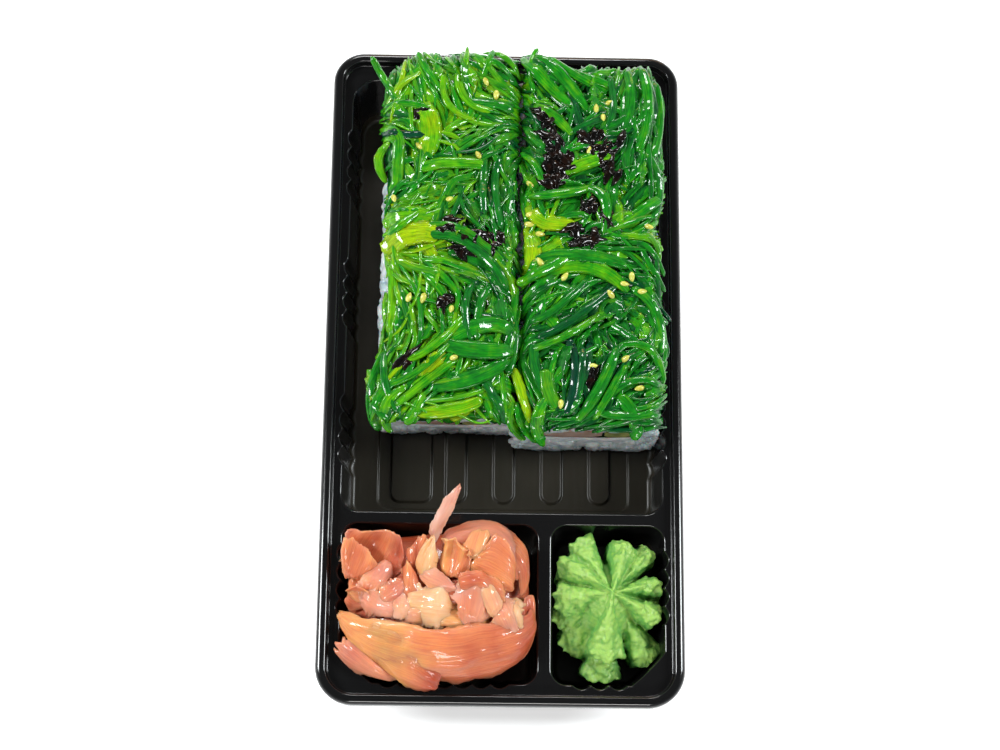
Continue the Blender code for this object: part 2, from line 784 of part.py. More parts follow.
def make_strand(name, strand, bed, material, group):
    """A strip that follows the bed, thick through its middle and narrow at its ends."""
    plan = curve_points(strand.start, strand.bend, strand.end, strand.steps)
    share = np.linspace(0, 1, strand.steps + 1)
    lift = curve_points(*[(value, 0.0) for value in strand.lift], strand.steps)[:, 0]
    height = np.array([bed.top(x, y) for x, y in plan]) + lift
    path = np.column_stack([plan, height])
    forward = np.gradient(path, axis=0)
    side = np.cross(forward, (0, 0, 1))
    side /= np.linalg.norm(side, axis=1, keepdims=True)
    swell = np.sin(math.pi * np.clip(share, 0.06, 0.94))
    half = strand.width / 2 * (STRAND_TIP + (1 - STRAND_TIP) * swell)[:, None]
    columns = 3 if strand.width > BROAD_STRAND else 2
    surface = np.stack([path + side * half * k for k in np.linspace(-1, 1, columns)], 1)
    if columns == 3:
        surface[:, 1, 2] += BROAD_CROWN
    return solid(name, *sheet_solid(surface, STRAND), material, group)


def make_seed(name, place, bed, turn, material, group):
    """A sesame seed that lies on the bed."""
    bm = bmesh.new()
    bmesh.ops.create_icosphere(bm, subdivisions=1, radius=1.0)
    spin = np.array([[math.cos(turn), -math.sin(turn), 0], [math.sin(turn), math.cos(turn), 0], [0, 0, 1]])
    points = np.array([vertex.co for vertex in bm.verts]) * SEED @ spin.T
    faces = [[vertex.index for vertex in face.verts] for face in bm.faces]
    bm.free()
    points += (*place, bed.top(*place) + SEED[2] * SEED_SHOWS)
    return solid(name, points, faces, material, group)


def make_bed(side, group, finishes):
    """A bed of seaweed salad: its core, with strands, dark flakes and sesame seeds fused on."""
    bed = BEDS[side]
    draw = random.Random(11 if side == "left" else 12)
    rows = np.linspace(0, 1, BED_ROWS)
    columns = np.linspace(0, 1, BED_COLUMNS)
    top = []
    bottom = []
    for v in rows:
        for u in columns:
            outer_share = 1 - u if side == "left" else u
            unevenness = BED_INNER + (BED_OUTER - BED_INNER) * outer_share
            wobble_x = unevenness * noise.noise(Vector((u * 2, v * 16, 5.0)))
            wobble_y = BED_END * noise.noise(Vector((u * 6, v * 3, 7.0)))
            x = bed.x0 + (bed.x1 - bed.x0) * u + wobble_x
            y = bed.y0 + (bed.y1 - bed.y0) * v + wobble_y
            top.append((x, y, bed.top(x, y)))
            bottom.append((x, y, BED_LOW))
    top = np.array(top).reshape(len(rows), len(columns), 3)
    bottom = np.array(bottom).reshape(len(rows), len(columns), 3)
    points, faces = two_faced((top, bottom))
    core = solid(f"seaweed_salad_{side}", points, faces, finishes["salad"], group)
    pieces_group = new_collection(f"pieces_{side}")
    pieces = []
    for i, strand in enumerate(STRANDS[side]):
        pieces.append(make_strand(f"strand_{side}_{i}", strand, bed, finishes["salad"], pieces_group))
    for i, (x, y) in enumerate(FLAKES[side]):
        turn = draw.uniform(0, math.pi)
        reach = np.array([math.cos(turn), math.sin(turn)]) * draw.uniform(2.2, 3.2)
        middle = (x + 0.4, y + 0.5)
        flake = Strand((x, y) - reach, middle, (x, y) + reach, FLAKE_WIDTH, (-0.5, 0.3, -0.6), 2)
        pieces.append(make_strand(f"flake_{side}_{i}", flake, bed, finishes["salad"], pieces_group))
    for i, place in enumerate(SEEDS[side]):
        turn = draw.uniform(0, math.pi)
        pieces.append(make_seed(f"seed_{side}_{i}", place, bed, turn, finishes["salad"], pieces_group))
    fuse(core, pieces, pieces_group)
    bpy.data.collections.remove(pieces_group)
    return core


GINGER_SLICES = (
    Slice(((-44.2, -69, 23.5), (8.6, -71, 23.5), (1.5, -88, 22.6), (-33, -88, 22.6)), 7.5, 0.3, (7, 4), 1.5),
    Slice(((-45.6, -77, 23.0), (-36, -73, 26.0), (-17, -90.5, 23.4), (-41, -86.5, 22.8)), 2.0, 0.4, (4, 2)),
    Slice(((-41.5, -50, 31.0), (-28, -49.5, 30.0), (-24, -60, 25.0), (-40, -66, 25.0)), -2.6, 0.9, (4, 4)),
    Slice(((-27, -51, 31.5), (-19, -49, 32.0), (-17.5, -58, 24.0), (-25.5, -61, 23.5)), 1.6, 0.6, (3, 3)),
    Slice(((-21.5, -53.5, 31), (-18.6, -52.5, 30), (-11.2, -38.2, 43.2), (-12, -38.6, 44)), 0.6, 0.0, (1, 4)),
    Slice(((-14, -58, 26.0), (-9, -46.5, 24.6), (5, -47, 23.4), (8.4, -60, 24.6)), 5.4, 0.5, (4, 4)),
    Slice(((-17, -54, 33.0), (-6, -51.5, 33.5), (-4, -62, 27.0), (-15, -64, 26.5)), 1.4, 0.9, (3, 3)),
    Slice(((-9, -54, 33.5), (5, -53, 31.0), (8.6, -66, 25.5), (0, -65, 28.0)), 2.2, 0.2, (3, 3)),
    Slice(((-26, -66, 31.0), (-5, -65, 32.0), (-6, -75, 27.0), (-27, -76, 26.0)), 2.6, 0.8, (6, 2)),
    Slice(((-11, -60, 32.0), (2.5, -61, 30.0), (4.5, -71, 26.5), (-10, -73, 27.5)), 3.2, 0.7, (4, 3)),
    Slice(((-43.5, -63, 25.5), (-35, -62, 28.0), (-33, -70, 28.0), (-42.5, -71, 25.0)), 2.2, 0.6, (3, 3)),
    Slice(((4, -66, 27.0), (9.2, -67, 23.0), (8.6, -81, 22.6), (2.5, -83, 25.0)), 1.4, 0.2, (2, 4)),
    Slice(((-24, -57, 30.5), (-17, -60, 31.0), (-13, -67, 29.0), (-22, -66, 28.0)), 1.6, 0.4, (3, 2)),
)


def slice_surface(piece):
    """Grid of points of a slice: straight between its corners, arched by its crown and waved across."""
    columns, rows = piece.cells
    a, b, c, d = (np.asarray(corner, float) for corner in piece.corners)
    u, v = np.meshgrid(np.linspace(0, 1, columns + 1), np.linspace(0, 1, rows + 1), indexing="ij")
    u = u[..., None]
    v = v[..., None]
    surface = (1 - v) * ((1 - u) * a + u * b) + v * ((1 - u) * d + u * c)
    normal = np.cross(b - a, d - a)
    normal *= math.copysign(1 / np.linalg.norm(normal), normal[2])
    arch = np.sin(math.pi * u) * (0.35 + 0.65 * np.sin(math.pi * v))
    ripple = np.sin(3 * math.pi * u + 1.3) * np.cos(2 * math.pi * v)
    return surface + normal * (piece.crown * arch + piece.wave * ripple)


def make_ginger(group, finishes):
    """The heap of ginger: a domed core in its compartment with the slices that show fused on."""
    angles = 2 * math.pi * np.arange(HEAP_POINTS) / HEAP_POINTS
    cosine = np.cos(angles)
    sine = np.sin(angles)
    rings = []
    for height, half_x, half_y, power in GINGER_LEVELS:
        size = (np.abs(cosine) ** power + np.abs(sine) ** power) ** (-1 / power)
        x = GINGER_MIDDLE[0] + half_x * cosine * size
        y = GINGER_MIDDLE[1] + half_y * sine * size
        rings.append(np.column_stack([x, y, np.full(HEAP_POINTS, height)]))
    core = solid("pickled_ginger", *loft(rings), finishes["ginger"], group)
    pieces_group = new_collection("pieces_ginger")
    pieces = []
    for i, piece in enumerate(GINGER_SLICES):
        points, faces = sheet_solid(slice_surface(piece), piece.thickness)
        pieces.append(solid(f"slice_{i}", points, faces, finishes["ginger"], pieces_group))
    fuse(core, pieces, pieces_group)
    bpy.data.collections.remove(pieces_group)
    return core


# Wasabi petals: direction in degrees, start and reach from the middle, half width at the tip, top and foot
PETALS = (
    (146, 0.0, 16.8, 6.2, 24.5, 4.0),
    (118, 4.0, 17.5, 5.6, 21.5, 4.0),
    (75, 0.0, 16.0, 4.6, 24.0, 4.0),
    (50, 4.0, 17.0, 3.8, 20.5, 4.0),
    (16, 0.0, 13.6, 3.4, 23.2, 4.0),
    (-30, 0.0, 14.2, 4.4, 24.0, 4.0),
    (-96, 0.0, 17.0, 6.4, 24.8, 4.0),
    (190, 0.0, 15.6, 6.6, 23.4, 4.0),
    (-60, 7.0, 21.0, 4.6, 17.0, 1.2),
    (-98, 8.0, 23.6, 6.8, 18.0, 1.2),
    (-140, 6.0, 17.4, 5.6, 16.5, 1.2),
)


# A petal's section: across and up, as shares of its half width and height
PETAL_SECTION = (
    (-0.86, 0.0),
    (-1.0, 0.55),
    (-0.62, 0.92),
    (0.0, 1.0),
    (0.62, 0.92),
    (1.0, 0.55),
    (0.86, 0.0),
)

# A petal's form along its length: place, width and height as shares
PETAL_FORM = ((0.0, 0.16, 1.0), (0.4, 0.56, 1.0), (0.86, 0.96, 0.95), (1.0, 0.66, 0.62))


def make_petal(name, petal, material, group):
    """A petal of the rosette: a ridge that widens and sinks from the middle, with a blunt tip."""
    direction, start, reach, width, top, foot = petal
    angle = math.radians(direction)
    forward = np.array([math.cos(angle), math.sin(angle)])
    side = np.array([-forward[1], forward[0]])
    rings = []
    for share, spread, tall in PETAL_FORM:
        along = start + (reach - start) * share
        ring = []
        for across, rise in PETAL_SECTION:
            x, y = np.array(ROSETTE) + forward * along + side * across * width * spread
            low = foot + TIP_RISE * share ** 2
            ring.append((x, y, low + (top - low) * tall * rise))
        rings.append(ring)
    return solid(name, *loft(rings), material, group)


def make_wasabi(group, finishes):
    """The piped rosette: a low base in its compartment with the petals fused on."""
    angles = 2 * math.pi * np.arange(HEAP_POINTS) / HEAP_POINTS
    rings = []
    for height, size in BASE_LEVELS:
        x = ROSETTE_BASE[0] + size * np.cos(angles)
        y = ROSETTE_BASE[1] + size * BASE_STRETCH * np.sin(angles)
        rings.append(np.column_stack([x, y, np.full(HEAP_POINTS, height)]))
    core = solid("wasabi", *loft(rings), finishes["wasabi"], group)
    pieces_group = new_collection("pieces_wasabi")
    pieces = []
    for i, petal in enumerate(PETALS):
        pieces.append(make_petal(f"petal_{i}", petal, finishes["wasabi"], pieces_group))
    fuse(core, pieces, pieces_group)
    bpy.data.collections.remove(pieces_group)
    return core


def main():
    """Builds the tray and its food."""
    clear_scene()
    group = new_collection("takeaway_sushi_tray")
    cutters = new_collection("cutters")
    finishes = {
        "tray": finish("black tray plastic", (0.012, 0.012, 0.013), 0.18),
        "rice": finish("cooked rice", (0.78, 0.79, 0.76), 0.42, 0.1),
        "nori": finish("seaweed sheet", (0.012, 0.022, 0.012), 0.5),
        "fish": finish("cooked fish", (0.62, 0.36, 0.28), 0.45, 0.1),
        "avocado": finish("avocado", (0.32, 0.40, 0.09), 0.4, 0.1),
        "salad": finish("seaweed salad", (0.03, 0.28, 0.03), 0.22, 0.1),
        "ginger": finish("pickled ginger", (0.86, 0.36, 0.20), 0.32, 0.15),
        "wasabi": finish("wasabi", (0.33, 0.58, 0.11), 0.55, 0.1),
    }
    make_tray(group, finishes["tray"])
    make_rows(group, finishes)
    for side in BEDS:
        make_bed(side, group, finishes)
    make_ginger(group, finishes)
    make_wasabi(group, finishes)
    bpy.data.collections.remove(cutters)


main()
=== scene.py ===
"""The takeaway sushi tray's looks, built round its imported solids.

Lengths are millimetres until a mesh is made, which is in metres. The origin is on the table under the
middle of the tray. +X is to the right, +Y runs from the ginger to the rolls' far end and +Z is up.
"""
from __future__ import annotations

import json
import logging
import math
from dataclasses import dataclass, field
from enum import Enum

import bpy
import numpy as np
from mathutils import Matrix, Vector
from mathutils.geometry import delaunay_2d_cdt

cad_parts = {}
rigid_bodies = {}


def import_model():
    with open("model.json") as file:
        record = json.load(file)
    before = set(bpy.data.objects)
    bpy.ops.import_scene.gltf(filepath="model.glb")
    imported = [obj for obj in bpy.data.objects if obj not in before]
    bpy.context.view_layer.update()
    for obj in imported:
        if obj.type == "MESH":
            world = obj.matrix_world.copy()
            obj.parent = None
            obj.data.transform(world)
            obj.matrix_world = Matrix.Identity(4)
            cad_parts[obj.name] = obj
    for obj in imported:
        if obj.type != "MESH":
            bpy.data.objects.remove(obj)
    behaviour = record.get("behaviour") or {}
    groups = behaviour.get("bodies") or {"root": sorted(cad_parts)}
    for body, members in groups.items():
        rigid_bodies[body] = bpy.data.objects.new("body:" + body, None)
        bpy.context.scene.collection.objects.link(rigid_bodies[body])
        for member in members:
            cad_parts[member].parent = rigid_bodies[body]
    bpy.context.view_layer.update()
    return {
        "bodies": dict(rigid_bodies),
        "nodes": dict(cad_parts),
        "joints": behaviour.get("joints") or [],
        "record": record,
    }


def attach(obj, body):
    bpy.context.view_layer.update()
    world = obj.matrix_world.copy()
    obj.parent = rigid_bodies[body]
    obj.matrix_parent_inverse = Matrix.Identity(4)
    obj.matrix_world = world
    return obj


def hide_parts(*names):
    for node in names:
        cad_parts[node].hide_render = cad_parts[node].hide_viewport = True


MM = 0.001
BODY = "root"
LOG = logging.getLogger("sushi_tray")

# How far the tray's walls lean out for each millimetre up, and the height up to which they do.
WALL_LEAN = 0.085
FAR_WALL_LEAN = 0.235
WALL_HEIGHT = 20.0

Array = np.ndarray
Pair = tuple[float, float]
Triple = tuple[float, float, float]
Four = tuple[float, float, float, float]
Socket = bpy.types.NodeSocket
Material = bpy.types.Material


class Side(Enum):
    """The two rows of roll slices."""

    LEFT = "left"
    RIGHT = "right"


# Starts of the random draws of each row's grains and of its salad.
GRAIN_DRAWS = {Side.LEFT: 31, Side.RIGHT: 32}
SALAD_DRAWS = {Side.LEFT: 71, Side.RIGHT: 72}


# Surfaces worked out as arrays


@dataclass
class Shape:
    """Points of a mesh in millimetres, its faces, and values that its points carry for the finish."""

    points: Array
    quads: Array = field(default_factory=lambda: np.zeros((0, 4), int))
    triangles: Array = field(default_factory=lambda: np.zeros((0, 3), int))
    values: dict[str, Array] = field(default_factory=dict)

    def corners(self) -> tuple[Array, Array, Array, Array]:
        """Corner numbers of its faces cut into triangles, and the places of their three corners."""
        split = np.concatenate([self.quads[:, [0, 1, 2]], self.quads[:, [0, 2, 3]], self.triangles])
        return split, *(self.points[split[:, k]] for k in range(3))

    def volume(self) -> float:
        """Signed volume: positive where the faces point out of a closed body."""
        _, a, b, c = self.corners()
        return float(np.einsum("ij,ij->", a, np.cross(b, c)) / 6)

    def facing_out(self) -> Shape:
        """The same closed body with its faces pointing outwards."""
        if self.volume() < 0:
            self.quads = self.quads[:, ::-1]
            self.triangles = self.triangles[:, ::-1]
        return self

    def normals(self) -> Array:
        """Unit normals at the points: the mean of the faces round each, weighted by their area."""
        split, a, b, c = self.corners()
        facing = np.cross(b - a, c - a)
        total = np.zeros_like(self.points)
        for k in range(3):
            np.add.at(total, split[:, k], facing)
        return total / np.maximum(np.linalg.norm(total, axis=1, keepdims=True), 1e-9)


def joined(shapes: list[Shape]) -> Shape:
    """One shape of several.

    Args:
        shapes: Shapes that carry the same values.

    Returns:
        Their points one after the other, with the faces counted on.
    """
    starts = np.cumsum([0] + [len(shape.points) for shape in shapes[:-1]])
    return Shape(
        np.concatenate([shape.points for shape in shapes]),
        np.concatenate([shape.quads + start for shape, start in zip(shapes, starts)]),
        np.concatenate([shape.triangles + start for shape, start in zip(shapes, starts)]),
        {name: np.concatenate([shape.values[name] for shape in shapes]) for name in shapes[0].values},
    )


def grid_quads(rows: int, columns: int, wrap_rows: bool = False, wrap_columns: bool = False) -> Array:
    """Corner numbers of the quads of a grid of points that are counted row by row.

    Args:
        rows: Lines of points in the first direction.
        columns: Points in each line.
        wrap_rows: Whether the last line joins the first.
        wrap_columns: Whether each line's last point joins its first.

    Returns:
        One row of four numbers for each quad.
    """
    i = np.arange(rows if wrap_rows else rows - 1)
    j = np.arange(columns if wrap_columns else columns - 1)
    i, j = np.meshgrid(i, j, indexing="ij")
    below = (i + 1) % rows
    beside = (j + 1) % columns
    corners = (i * columns + j, below * columns + j, below * columns + beside, i * columns + beside)
    return np.stack(corners, -1).reshape(-1, 4)


def repeated(faces: Array, count: int, stride: int) -> Array:
    """The faces of one body again for each of several that lie one after the other."""
    return (faces[None] + (np.arange(count) * stride)[:, None, None]).reshape(-1, faces.shape[1])


def tubes(rings: Array, values: dict[str, Array] | None = None) -> Shape:
    """Closed bodies through rings of points, each end drawn to a point at its ring's middle.

    Args:
        rings: Points by body, ring and place in the ring.
        values: Values by body, ring and place in the ring.

    Returns:
        All the bodies as one shape.
    """
    count, stations, around = rings.shape[:3]
    poles = np.stack([rings[:, 0].mean(1), rings[:, -1].mean(1)], 1)
    stride = stations * around + 2
    points = np.concatenate([rings.reshape(count, -1, 3), poles], 1).reshape(-1, 3)
    quads = grid_quads(stations, around, wrap_columns=True)
    j = np.arange(around)
    beside = (j + 1) % around
    first = np.stack([np.full(around, stride - 2), j, beside], 1)
    base = (stations - 1) * around
    last = np.stack([np.full(around, stride - 1), base + beside, base + j], 1)
    carried = {}
    for name, value in (values or {}).items():
        ends = np.stack([value[:, 0].mean(1), value[:, -1].mean(1)], 1)
        flat = value.reshape(count, stations * around, *value.shape[3:])
        carried[name] = np.concatenate([flat, ends], 1).reshape(-1, *value.shape[3:])
    faces = repeated(quads, count, stride), repeated(np.concatenate([first, last]), count, stride)
    return Shape(points, *faces, carried).facing_out()


def sheets(upper: Array, lower: Array, values: dict[str, Array] | None = None) -> Shape:
    """Closed thin bodies between pairs of grids of points.

    Args:
        upper: Points by body, row and column.
        lower: The same on the other face.
        values: Values by body, row and column, which both faces carry.

    Returns:
        All the bodies as one shape.
    """
    count, rows, columns = upper.shape[:3]
    size = rows * columns
    top = grid_quads(rows, columns)
    index = np.arange(size).reshape(rows, columns)
    border = np.concatenate([index[0, :-1], index[:-1, -1], index[-1, :0:-1], index[:0:-1, 0]])
    after = np.roll(border, -1)
    rim = np.stack([border, after, after + size, border + size], 1)
    quads = np.concatenate([top, top[:, ::-1] + size, rim])
    points = np.concatenate([upper.reshape(count, size, 3), lower.reshape(count, size, 3)], 1).reshape(-1, 3)
    carried = {}
    for name, value in (values or {}).items():
        flat = value.reshape(count, size, *value.shape[3:])
        carried[name] = np.concatenate([flat, flat], 1).reshape(-1, *value.shape[3:])
    return Shape(points, repeated(quads, count, 2 * size), values=carried).facing_out()


def unit(vectors: Array) -> Array:
    """Vectors of length one along the last axis."""
    return vectors / np.maximum(np.linalg.norm(vectors, axis=-1, keepdims=True), 1e-9)


def grid_normals(points: Array) -> Array:
    """Unit normals of a grid of points: the cross product of its slopes both ways."""
    return unit(np.cross(np.gradient(points, axis=0), np.gradient(points, axis=1)))


def shares(rows: int, columns: int, low: float = 0.0) -> tuple[Array, Array]:
    """Numbers from low to 1 down the rows and along the columns of a grid."""
    return np.meshgrid(np.linspace(low, 1, rows), np.linspace(low, 1, columns), indexing="ij")


def lattice(cell: Array, seed: int) -> Array:
    """A fixed random value from -1 to 1 for each whole-number cell, by mixing its three numbers' bits.

    Args:
        cell: Whole numbers, three for each cell.
        seed: Which field of values.

    Returns:
        One value for each cell.
    """
    x, y, z = (cell[..., k].astype(np.int64) for k in range(3))
    mixed = (x * 73856093) ^ (y * 19349663) ^ (z * 83492791) ^ (seed * 2654435761)
    mixed &= 0xFFFFFFFF
    mixed = ((mixed ^ (mixed >> 13)) * 1274126177) & 0xFFFFFFFF
    mixed ^= mixed >> 16
    return mixed / 2147483648.0 - 1.0


def noise(points: Array, wave: float, seed: int = 0) -> Array:
    """Smooth random values from -1 to 1: lattice values a wave apart, blended by 3f^2 - 2f^3.

    Args:
        points: Places in millimetres.
        wave: Distance between lattice points in millimetres.
        seed: Which field of values.

    Returns:
        One value for each place.
    """
    scaled = points / wave
    cell = np.floor(scaled)
    share = scaled - cell
    share = share * share * (3 - 2 * share)
    total = np.zeros(points.shape[:-1])
    for corner in np.ndindex(2, 2, 2):
        step = np.array(corner)
        weight = np.prod(np.where(step, share, 1 - share), axis=-1)
        total += weight * lattice(cell + step, seed)
    return total


def layered_noise(points: Array, wave: float, seed: int, layers: int = 3) -> Array:
    """A sum of noise fields, each of half the wave and half the height of the one before."""
    return sum(noise(points, wave / 2**k, seed + k) / 2**k for k in range(layers))


def at_plan(plan: Array, height: float = 0.0) -> Array:
    """Places in plan as points at one height, for reading noise."""
    return np.concatenate([plan, np.full(plan.shape[:-1] + (1,), height)], -1)


def new_object(name: str, shape: Shape) -> bpy.types.Object:
    """An object in the scene with a shape's faces and its points in metres.

    Args:
        name: The object's name.
        shape: Its surface in millimetres.

    Returns:
        The object, at the origin.
    """
    mesh = bpy.data.meshes.new(name)
    mesh.from_pydata((shape.points * MM).tolist(), [], shape.quads.tolist() + shape.triangles.tolist())
    item = bpy.data.objects.new(name, mesh)
    bpy.context.scene.collection.objects.link(item)
    return item


def make_piece(name: str, shape: Shape, material: Material) -> bpy.types.Object:
    """An object of a shape, riding on the part.

    Args:
        name: The piece's name.
        shape: Its surface in millimetres.
        material: Its finish.

    Returns:
        The object, at the origin.
    """
    piece = new_object(name, shape)
    mesh = piece.data
    for key, value in shape.values.items():
        kind, slot_name = ("FLOAT", "value") if value.ndim == 1 else ("FLOAT_VECTOR", "vector")
        mesh.attributes.new(key, kind, "POINT").data.foreach_set(slot_name, value.astype(np.float32).ravel())
    mesh.materials.append(material)
    mesh.shade_smooth()
    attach(piece, BODY)
    LOG.info("%s: %d points, %d faces", name, len(mesh.vertices), len(mesh.polygons))
    return piece


# Finishes


class Graph:
    """The node graph of one material, with its Principled shader."""

    def __init__(self, name: str) -> None:
        """Starts a material."""
        self.material = bpy.data.materials.new(name)
        self.material.use_nodes = True
        self.tree = self.material.node_tree
        self.shader = self.tree.nodes["Principled BSDF"]

    def put(self, socket: Socket, value: object) -> None:
        """Links a socket to another, or sets its value.

        Args:
            socket: The socket to fill.
            value: Another socket, or a value.
        """
        if isinstance(value, Socket):
            self.tree.links.new(value, socket)
        else:
            socket.default_value = value

    def add(self, kind: str, settings: dict[str, object] | None = None, **inputs: object) -> bpy.types.Node:
        """A node.

        Args:
            kind: The node's type without its ShaderNode prefix.
            settings: The node's own settings.
            inputs: Its sockets by name, with underscores for spaces.

        Returns:
            The node.
        """
        node = self.tree.nodes.new("ShaderNode" + kind)
        for key, value in (settings or {}).items():
            setattr(node, key, value)
        for key, value in inputs.items():
            self.put(node.inputs[key.replace("_", " ")], value)
        return node

    def finish(self, **inputs: object) -> Material:
        """Sets or links the shader's sockets and gives the material.

        Args:
            inputs: The shader's sockets by name, with underscores for spaces.

        Returns:
            The material.
        """
        for key, value in inputs.items():
            self.put(self.shader.inputs[key.replace("_", " ")], value)
        return self.material

    def place(self) -> Socket:
        """Object coordinates in metres."""
        return self.add("TexCoord").outputs["Object"]

    def value(self, name: str) -> Socket:
        """A value that the piece's points carry."""
        return self.add("Attribute", {"attribute_name": name}).outputs["Fac"]

    def vector(self, name: str) -> Socket:
        """A vector that the piece's points carry."""
        return self.add("Attribute", {"attribute_name": name}).outputs["Vector"]

    def cloud(self, where: Socket, scale: float, detail: float = 2.0) -> Socket:
        """Noise from 0 to 1 over a vector."""
        return self.add("TexNoise", Vector=where, Scale=scale, Detail=detail).outputs["Fac"]

    def stretched(self, where: Socket, scale: Triple) -> Socket:
        """A vector with each direction scaled."""
        return self.add("Mapping", Vector=where, Scale=scale).outputs["Vector"]

    def ramp(self, share: Socket, stops: tuple[tuple[float, Triple], ...]) -> Socket:
        """A colour for each share by stops along a ramp.

        Args:
            share: Where on the ramp.
            stops: Places along the ramp and their colours.

        Returns:
            The colour.
        """
        node = self.add("ValToRGB", Fac=share)
        elements = node.color_ramp.elements
        while len(elements) < len(stops):
            elements.new(1.0)
        for element, (position, colour) in zip(elements, stops):
            element.position = position
            element.color = (*colour, 1.0)
        return node.outputs["Color"]

    def span(self, value: Socket, low: float, high: float, start: float = 0.0, end: float = 1.0) -> Socket:
        """A value from low to high, carried to start to end and held there.

        Args:
            value: The value.
            low: Where the span starts.
            high: Where it ends.
            start: What low becomes.
            end: What high becomes.

        Returns:
            The carried value.
        """
        node = self.add("MapRange", Value=value)
        for key, number in zip(("From Min", "From Max", "To Min", "To Max"), (low, high, start, end)):
            node.inputs[key].default_value = number
        return node.outputs["Result"]

    def mix(self, share: object, first: object, second: object, blend: str = "MIX") -> Socket:
        """A mix of two colours.

        Args:
            share: How much of the second.
            first: A colour or a socket.
            second: Another.
            blend: How they are blended.

        Returns:
            The mixed colour.
        """
        node = self.add("Mix", {"data_type": "RGBA", "blend_type": blend})
        for index, value in ((0, share), (6, first), (7, second)):
            self.put(node.inputs[index], (*value, 1.0) if isinstance(value, tuple) else value)
        return node.outputs[2]

    def maths(self, kind: str, first: object, second: object = 0.5) -> Socket:
        """A sum, product or other operation on two values.

        Args:
            kind: The operation.
            first: A value or a socket.
            second: Another.

        Returns:
            The result.
        """
        node = self.add("Math", {"operation": kind})
        self.put(node.inputs[0], first)
        self.put(node.inputs[1], second)
        return node.outputs[0]

    def bump(self, height: Socket, depth: float, strength: float = 1.0, under: object = None) -> Socket:
        """A bumped normal of a height from 0 to 1 and its depth in millimetres.

        Args:
            height: The height.
            depth: What a height of 1 comes to.
            strength: How strongly it shows.
            under: A normal to start from.

        Returns:
            The normal.
        """
        node = self.add("Bump", Height=height, Strength=strength, Distance=depth * MM)
        if under is not None:
            self.put(node.inputs["Normal"], under)
        return node.outputs["Normal"]


@dataclass(frozen=True)
class TrayPlastic:
    """Glossy black formed sheet, duller on its floors, where a brown painted reflection is mixed into its
    colour, with a faint grain and fine rubs.
    """

    black: Triple = (0.0062, 0.0062, 0.0064)
    # The floors' brown stands for a painted reflection.
    floor: Triple = (0.021, 0.018, 0.0115)
    floor_height: float = 3.4
    wall_height: float = 6.0

    def material(self) -> Material:
        """The finish as a material."""
        graph = Graph("glossy black sheet")
        place = graph.place()
        height = graph.add("SeparateXYZ", Vector=place).outputs["Z"]
        # Painted reflection: a brown tint in random patches on the floors, below the walls' foot, which also
        # makes them duller.
        low = graph.span(height, self.floor_height * MM, self.wall_height * MM, 1.0, 0.0)
        patches = graph.cloud(place, 45.0, 3.0)
        brown = graph.maths("MULTIPLY", low, graph.span(patches, 0.25, 0.6, 0.75, 1.0))
        colour = graph.mix(brown, self.black, self.floor)
        rubs = graph.cloud(graph.stretched(place, (900.0, 60.0, 300.0)), 1.0, 3.0)
        shine = graph.span(rubs, 0.4, 0.8, 0.1, 0.17)
        rough = graph.maths("ADD", shine, graph.span(brown, 0.0, 1.0, 0.0, 0.24))
        grain = graph.bump(graph.cloud(place, 2600.0, 2.0), 0.012, 0.5)
        waves = graph.bump(graph.cloud(place, 90.0, 1.0), 0.12, 0.35, grain)
        return graph.finish(Base_Color=colour, Roughness=rough, Normal=waves, IOR=1.5)


@dataclass(frozen=True)
class CookedRice:
    """Moist white rice, a little see-through, with random patches of a cool grey painted shade."""

    white: Triple = (0.76, 0.79, 0.78)
    grey: Triple = (0.42, 0.48, 0.52)

    def material(self) -> Material:
        """The finish as a material."""
        graph = Graph("cooked rice")
        place = graph.place()
        patches = graph.span(graph.cloud(place, 420.0, 3.0), 0.3, 0.7)
        # Painted shade: cool grey mixed into the white in random patches.
        colour = graph.mix(patches, self.grey, self.white)
        pits = graph.bump(graph.cloud(place, 1900.0, 3.0), 0.18, 0.6)
        return graph.finish(
            Base_Color=colour, Roughness=0.4, Normal=pits, Subsurface_Weight=0.35, Subsurface_Scale=0.0016,
            Coat_Weight=0.2, Coat_Roughness=0.15,
        )


@dataclass(frozen=True)
class SeaweedSheet:
    """Damp dark green pressed seaweed."""

    dark: Triple = (0.004, 0.009, 0.005)
    light: Triple = (0.02, 0.045, 0.016)

    def material(self) -> Material:
        """The finish as a material."""
        graph = Graph("damp seaweed sheet")
        place = graph.place()
        fibres = graph.span(graph.cloud(place, 1500.0, 4.0), 0.3, 0.7)
        normal = graph.bump(graph.cloud(place, 2200.0, 3.0), 0.1, 0.6)
        colour = graph.mix(fibres, self.dark, self.light)
        return graph.finish(Base_Color=colour, Roughness=0.34, Normal=normal)


@dataclass(frozen=True)
class CookedFish:
    """Pinkish brown fish with flakes, redder in places, with wet glints."""

    pale: Triple = (0.66, 0.48, 0.41)
    brown: Triple = (0.44, 0.28, 0.20)
    red: Triple = (0.42, 0.045, 0.02)

    def material(self) -> Material:
        """The finish as a material."""
        graph = Graph("cooked fish")
        place = graph.place()
        flakes = graph.span(graph.cloud(graph.stretched(place, (240.0, 240.0, 900.0)), 1.0, 4.0), 0.32, 0.68)
        spots = graph.span(graph.cloud(place, 170.0, 2.0), 0.6, 0.72)
        colour = graph.mix(spots, graph.mix(flakes, self.brown, self.pale), self.red)
        normal = graph.bump(graph.cloud(place, 1100.0, 4.0), 0.3, 0.8)
        return graph.finish(
            Base_Color=colour, Roughness=0.3, Normal=normal, Subsurface_Weight=0.2, Subsurface_Scale=0.0015,
            Coat_Weight=0.4, Coat_Roughness=0.15,
        )


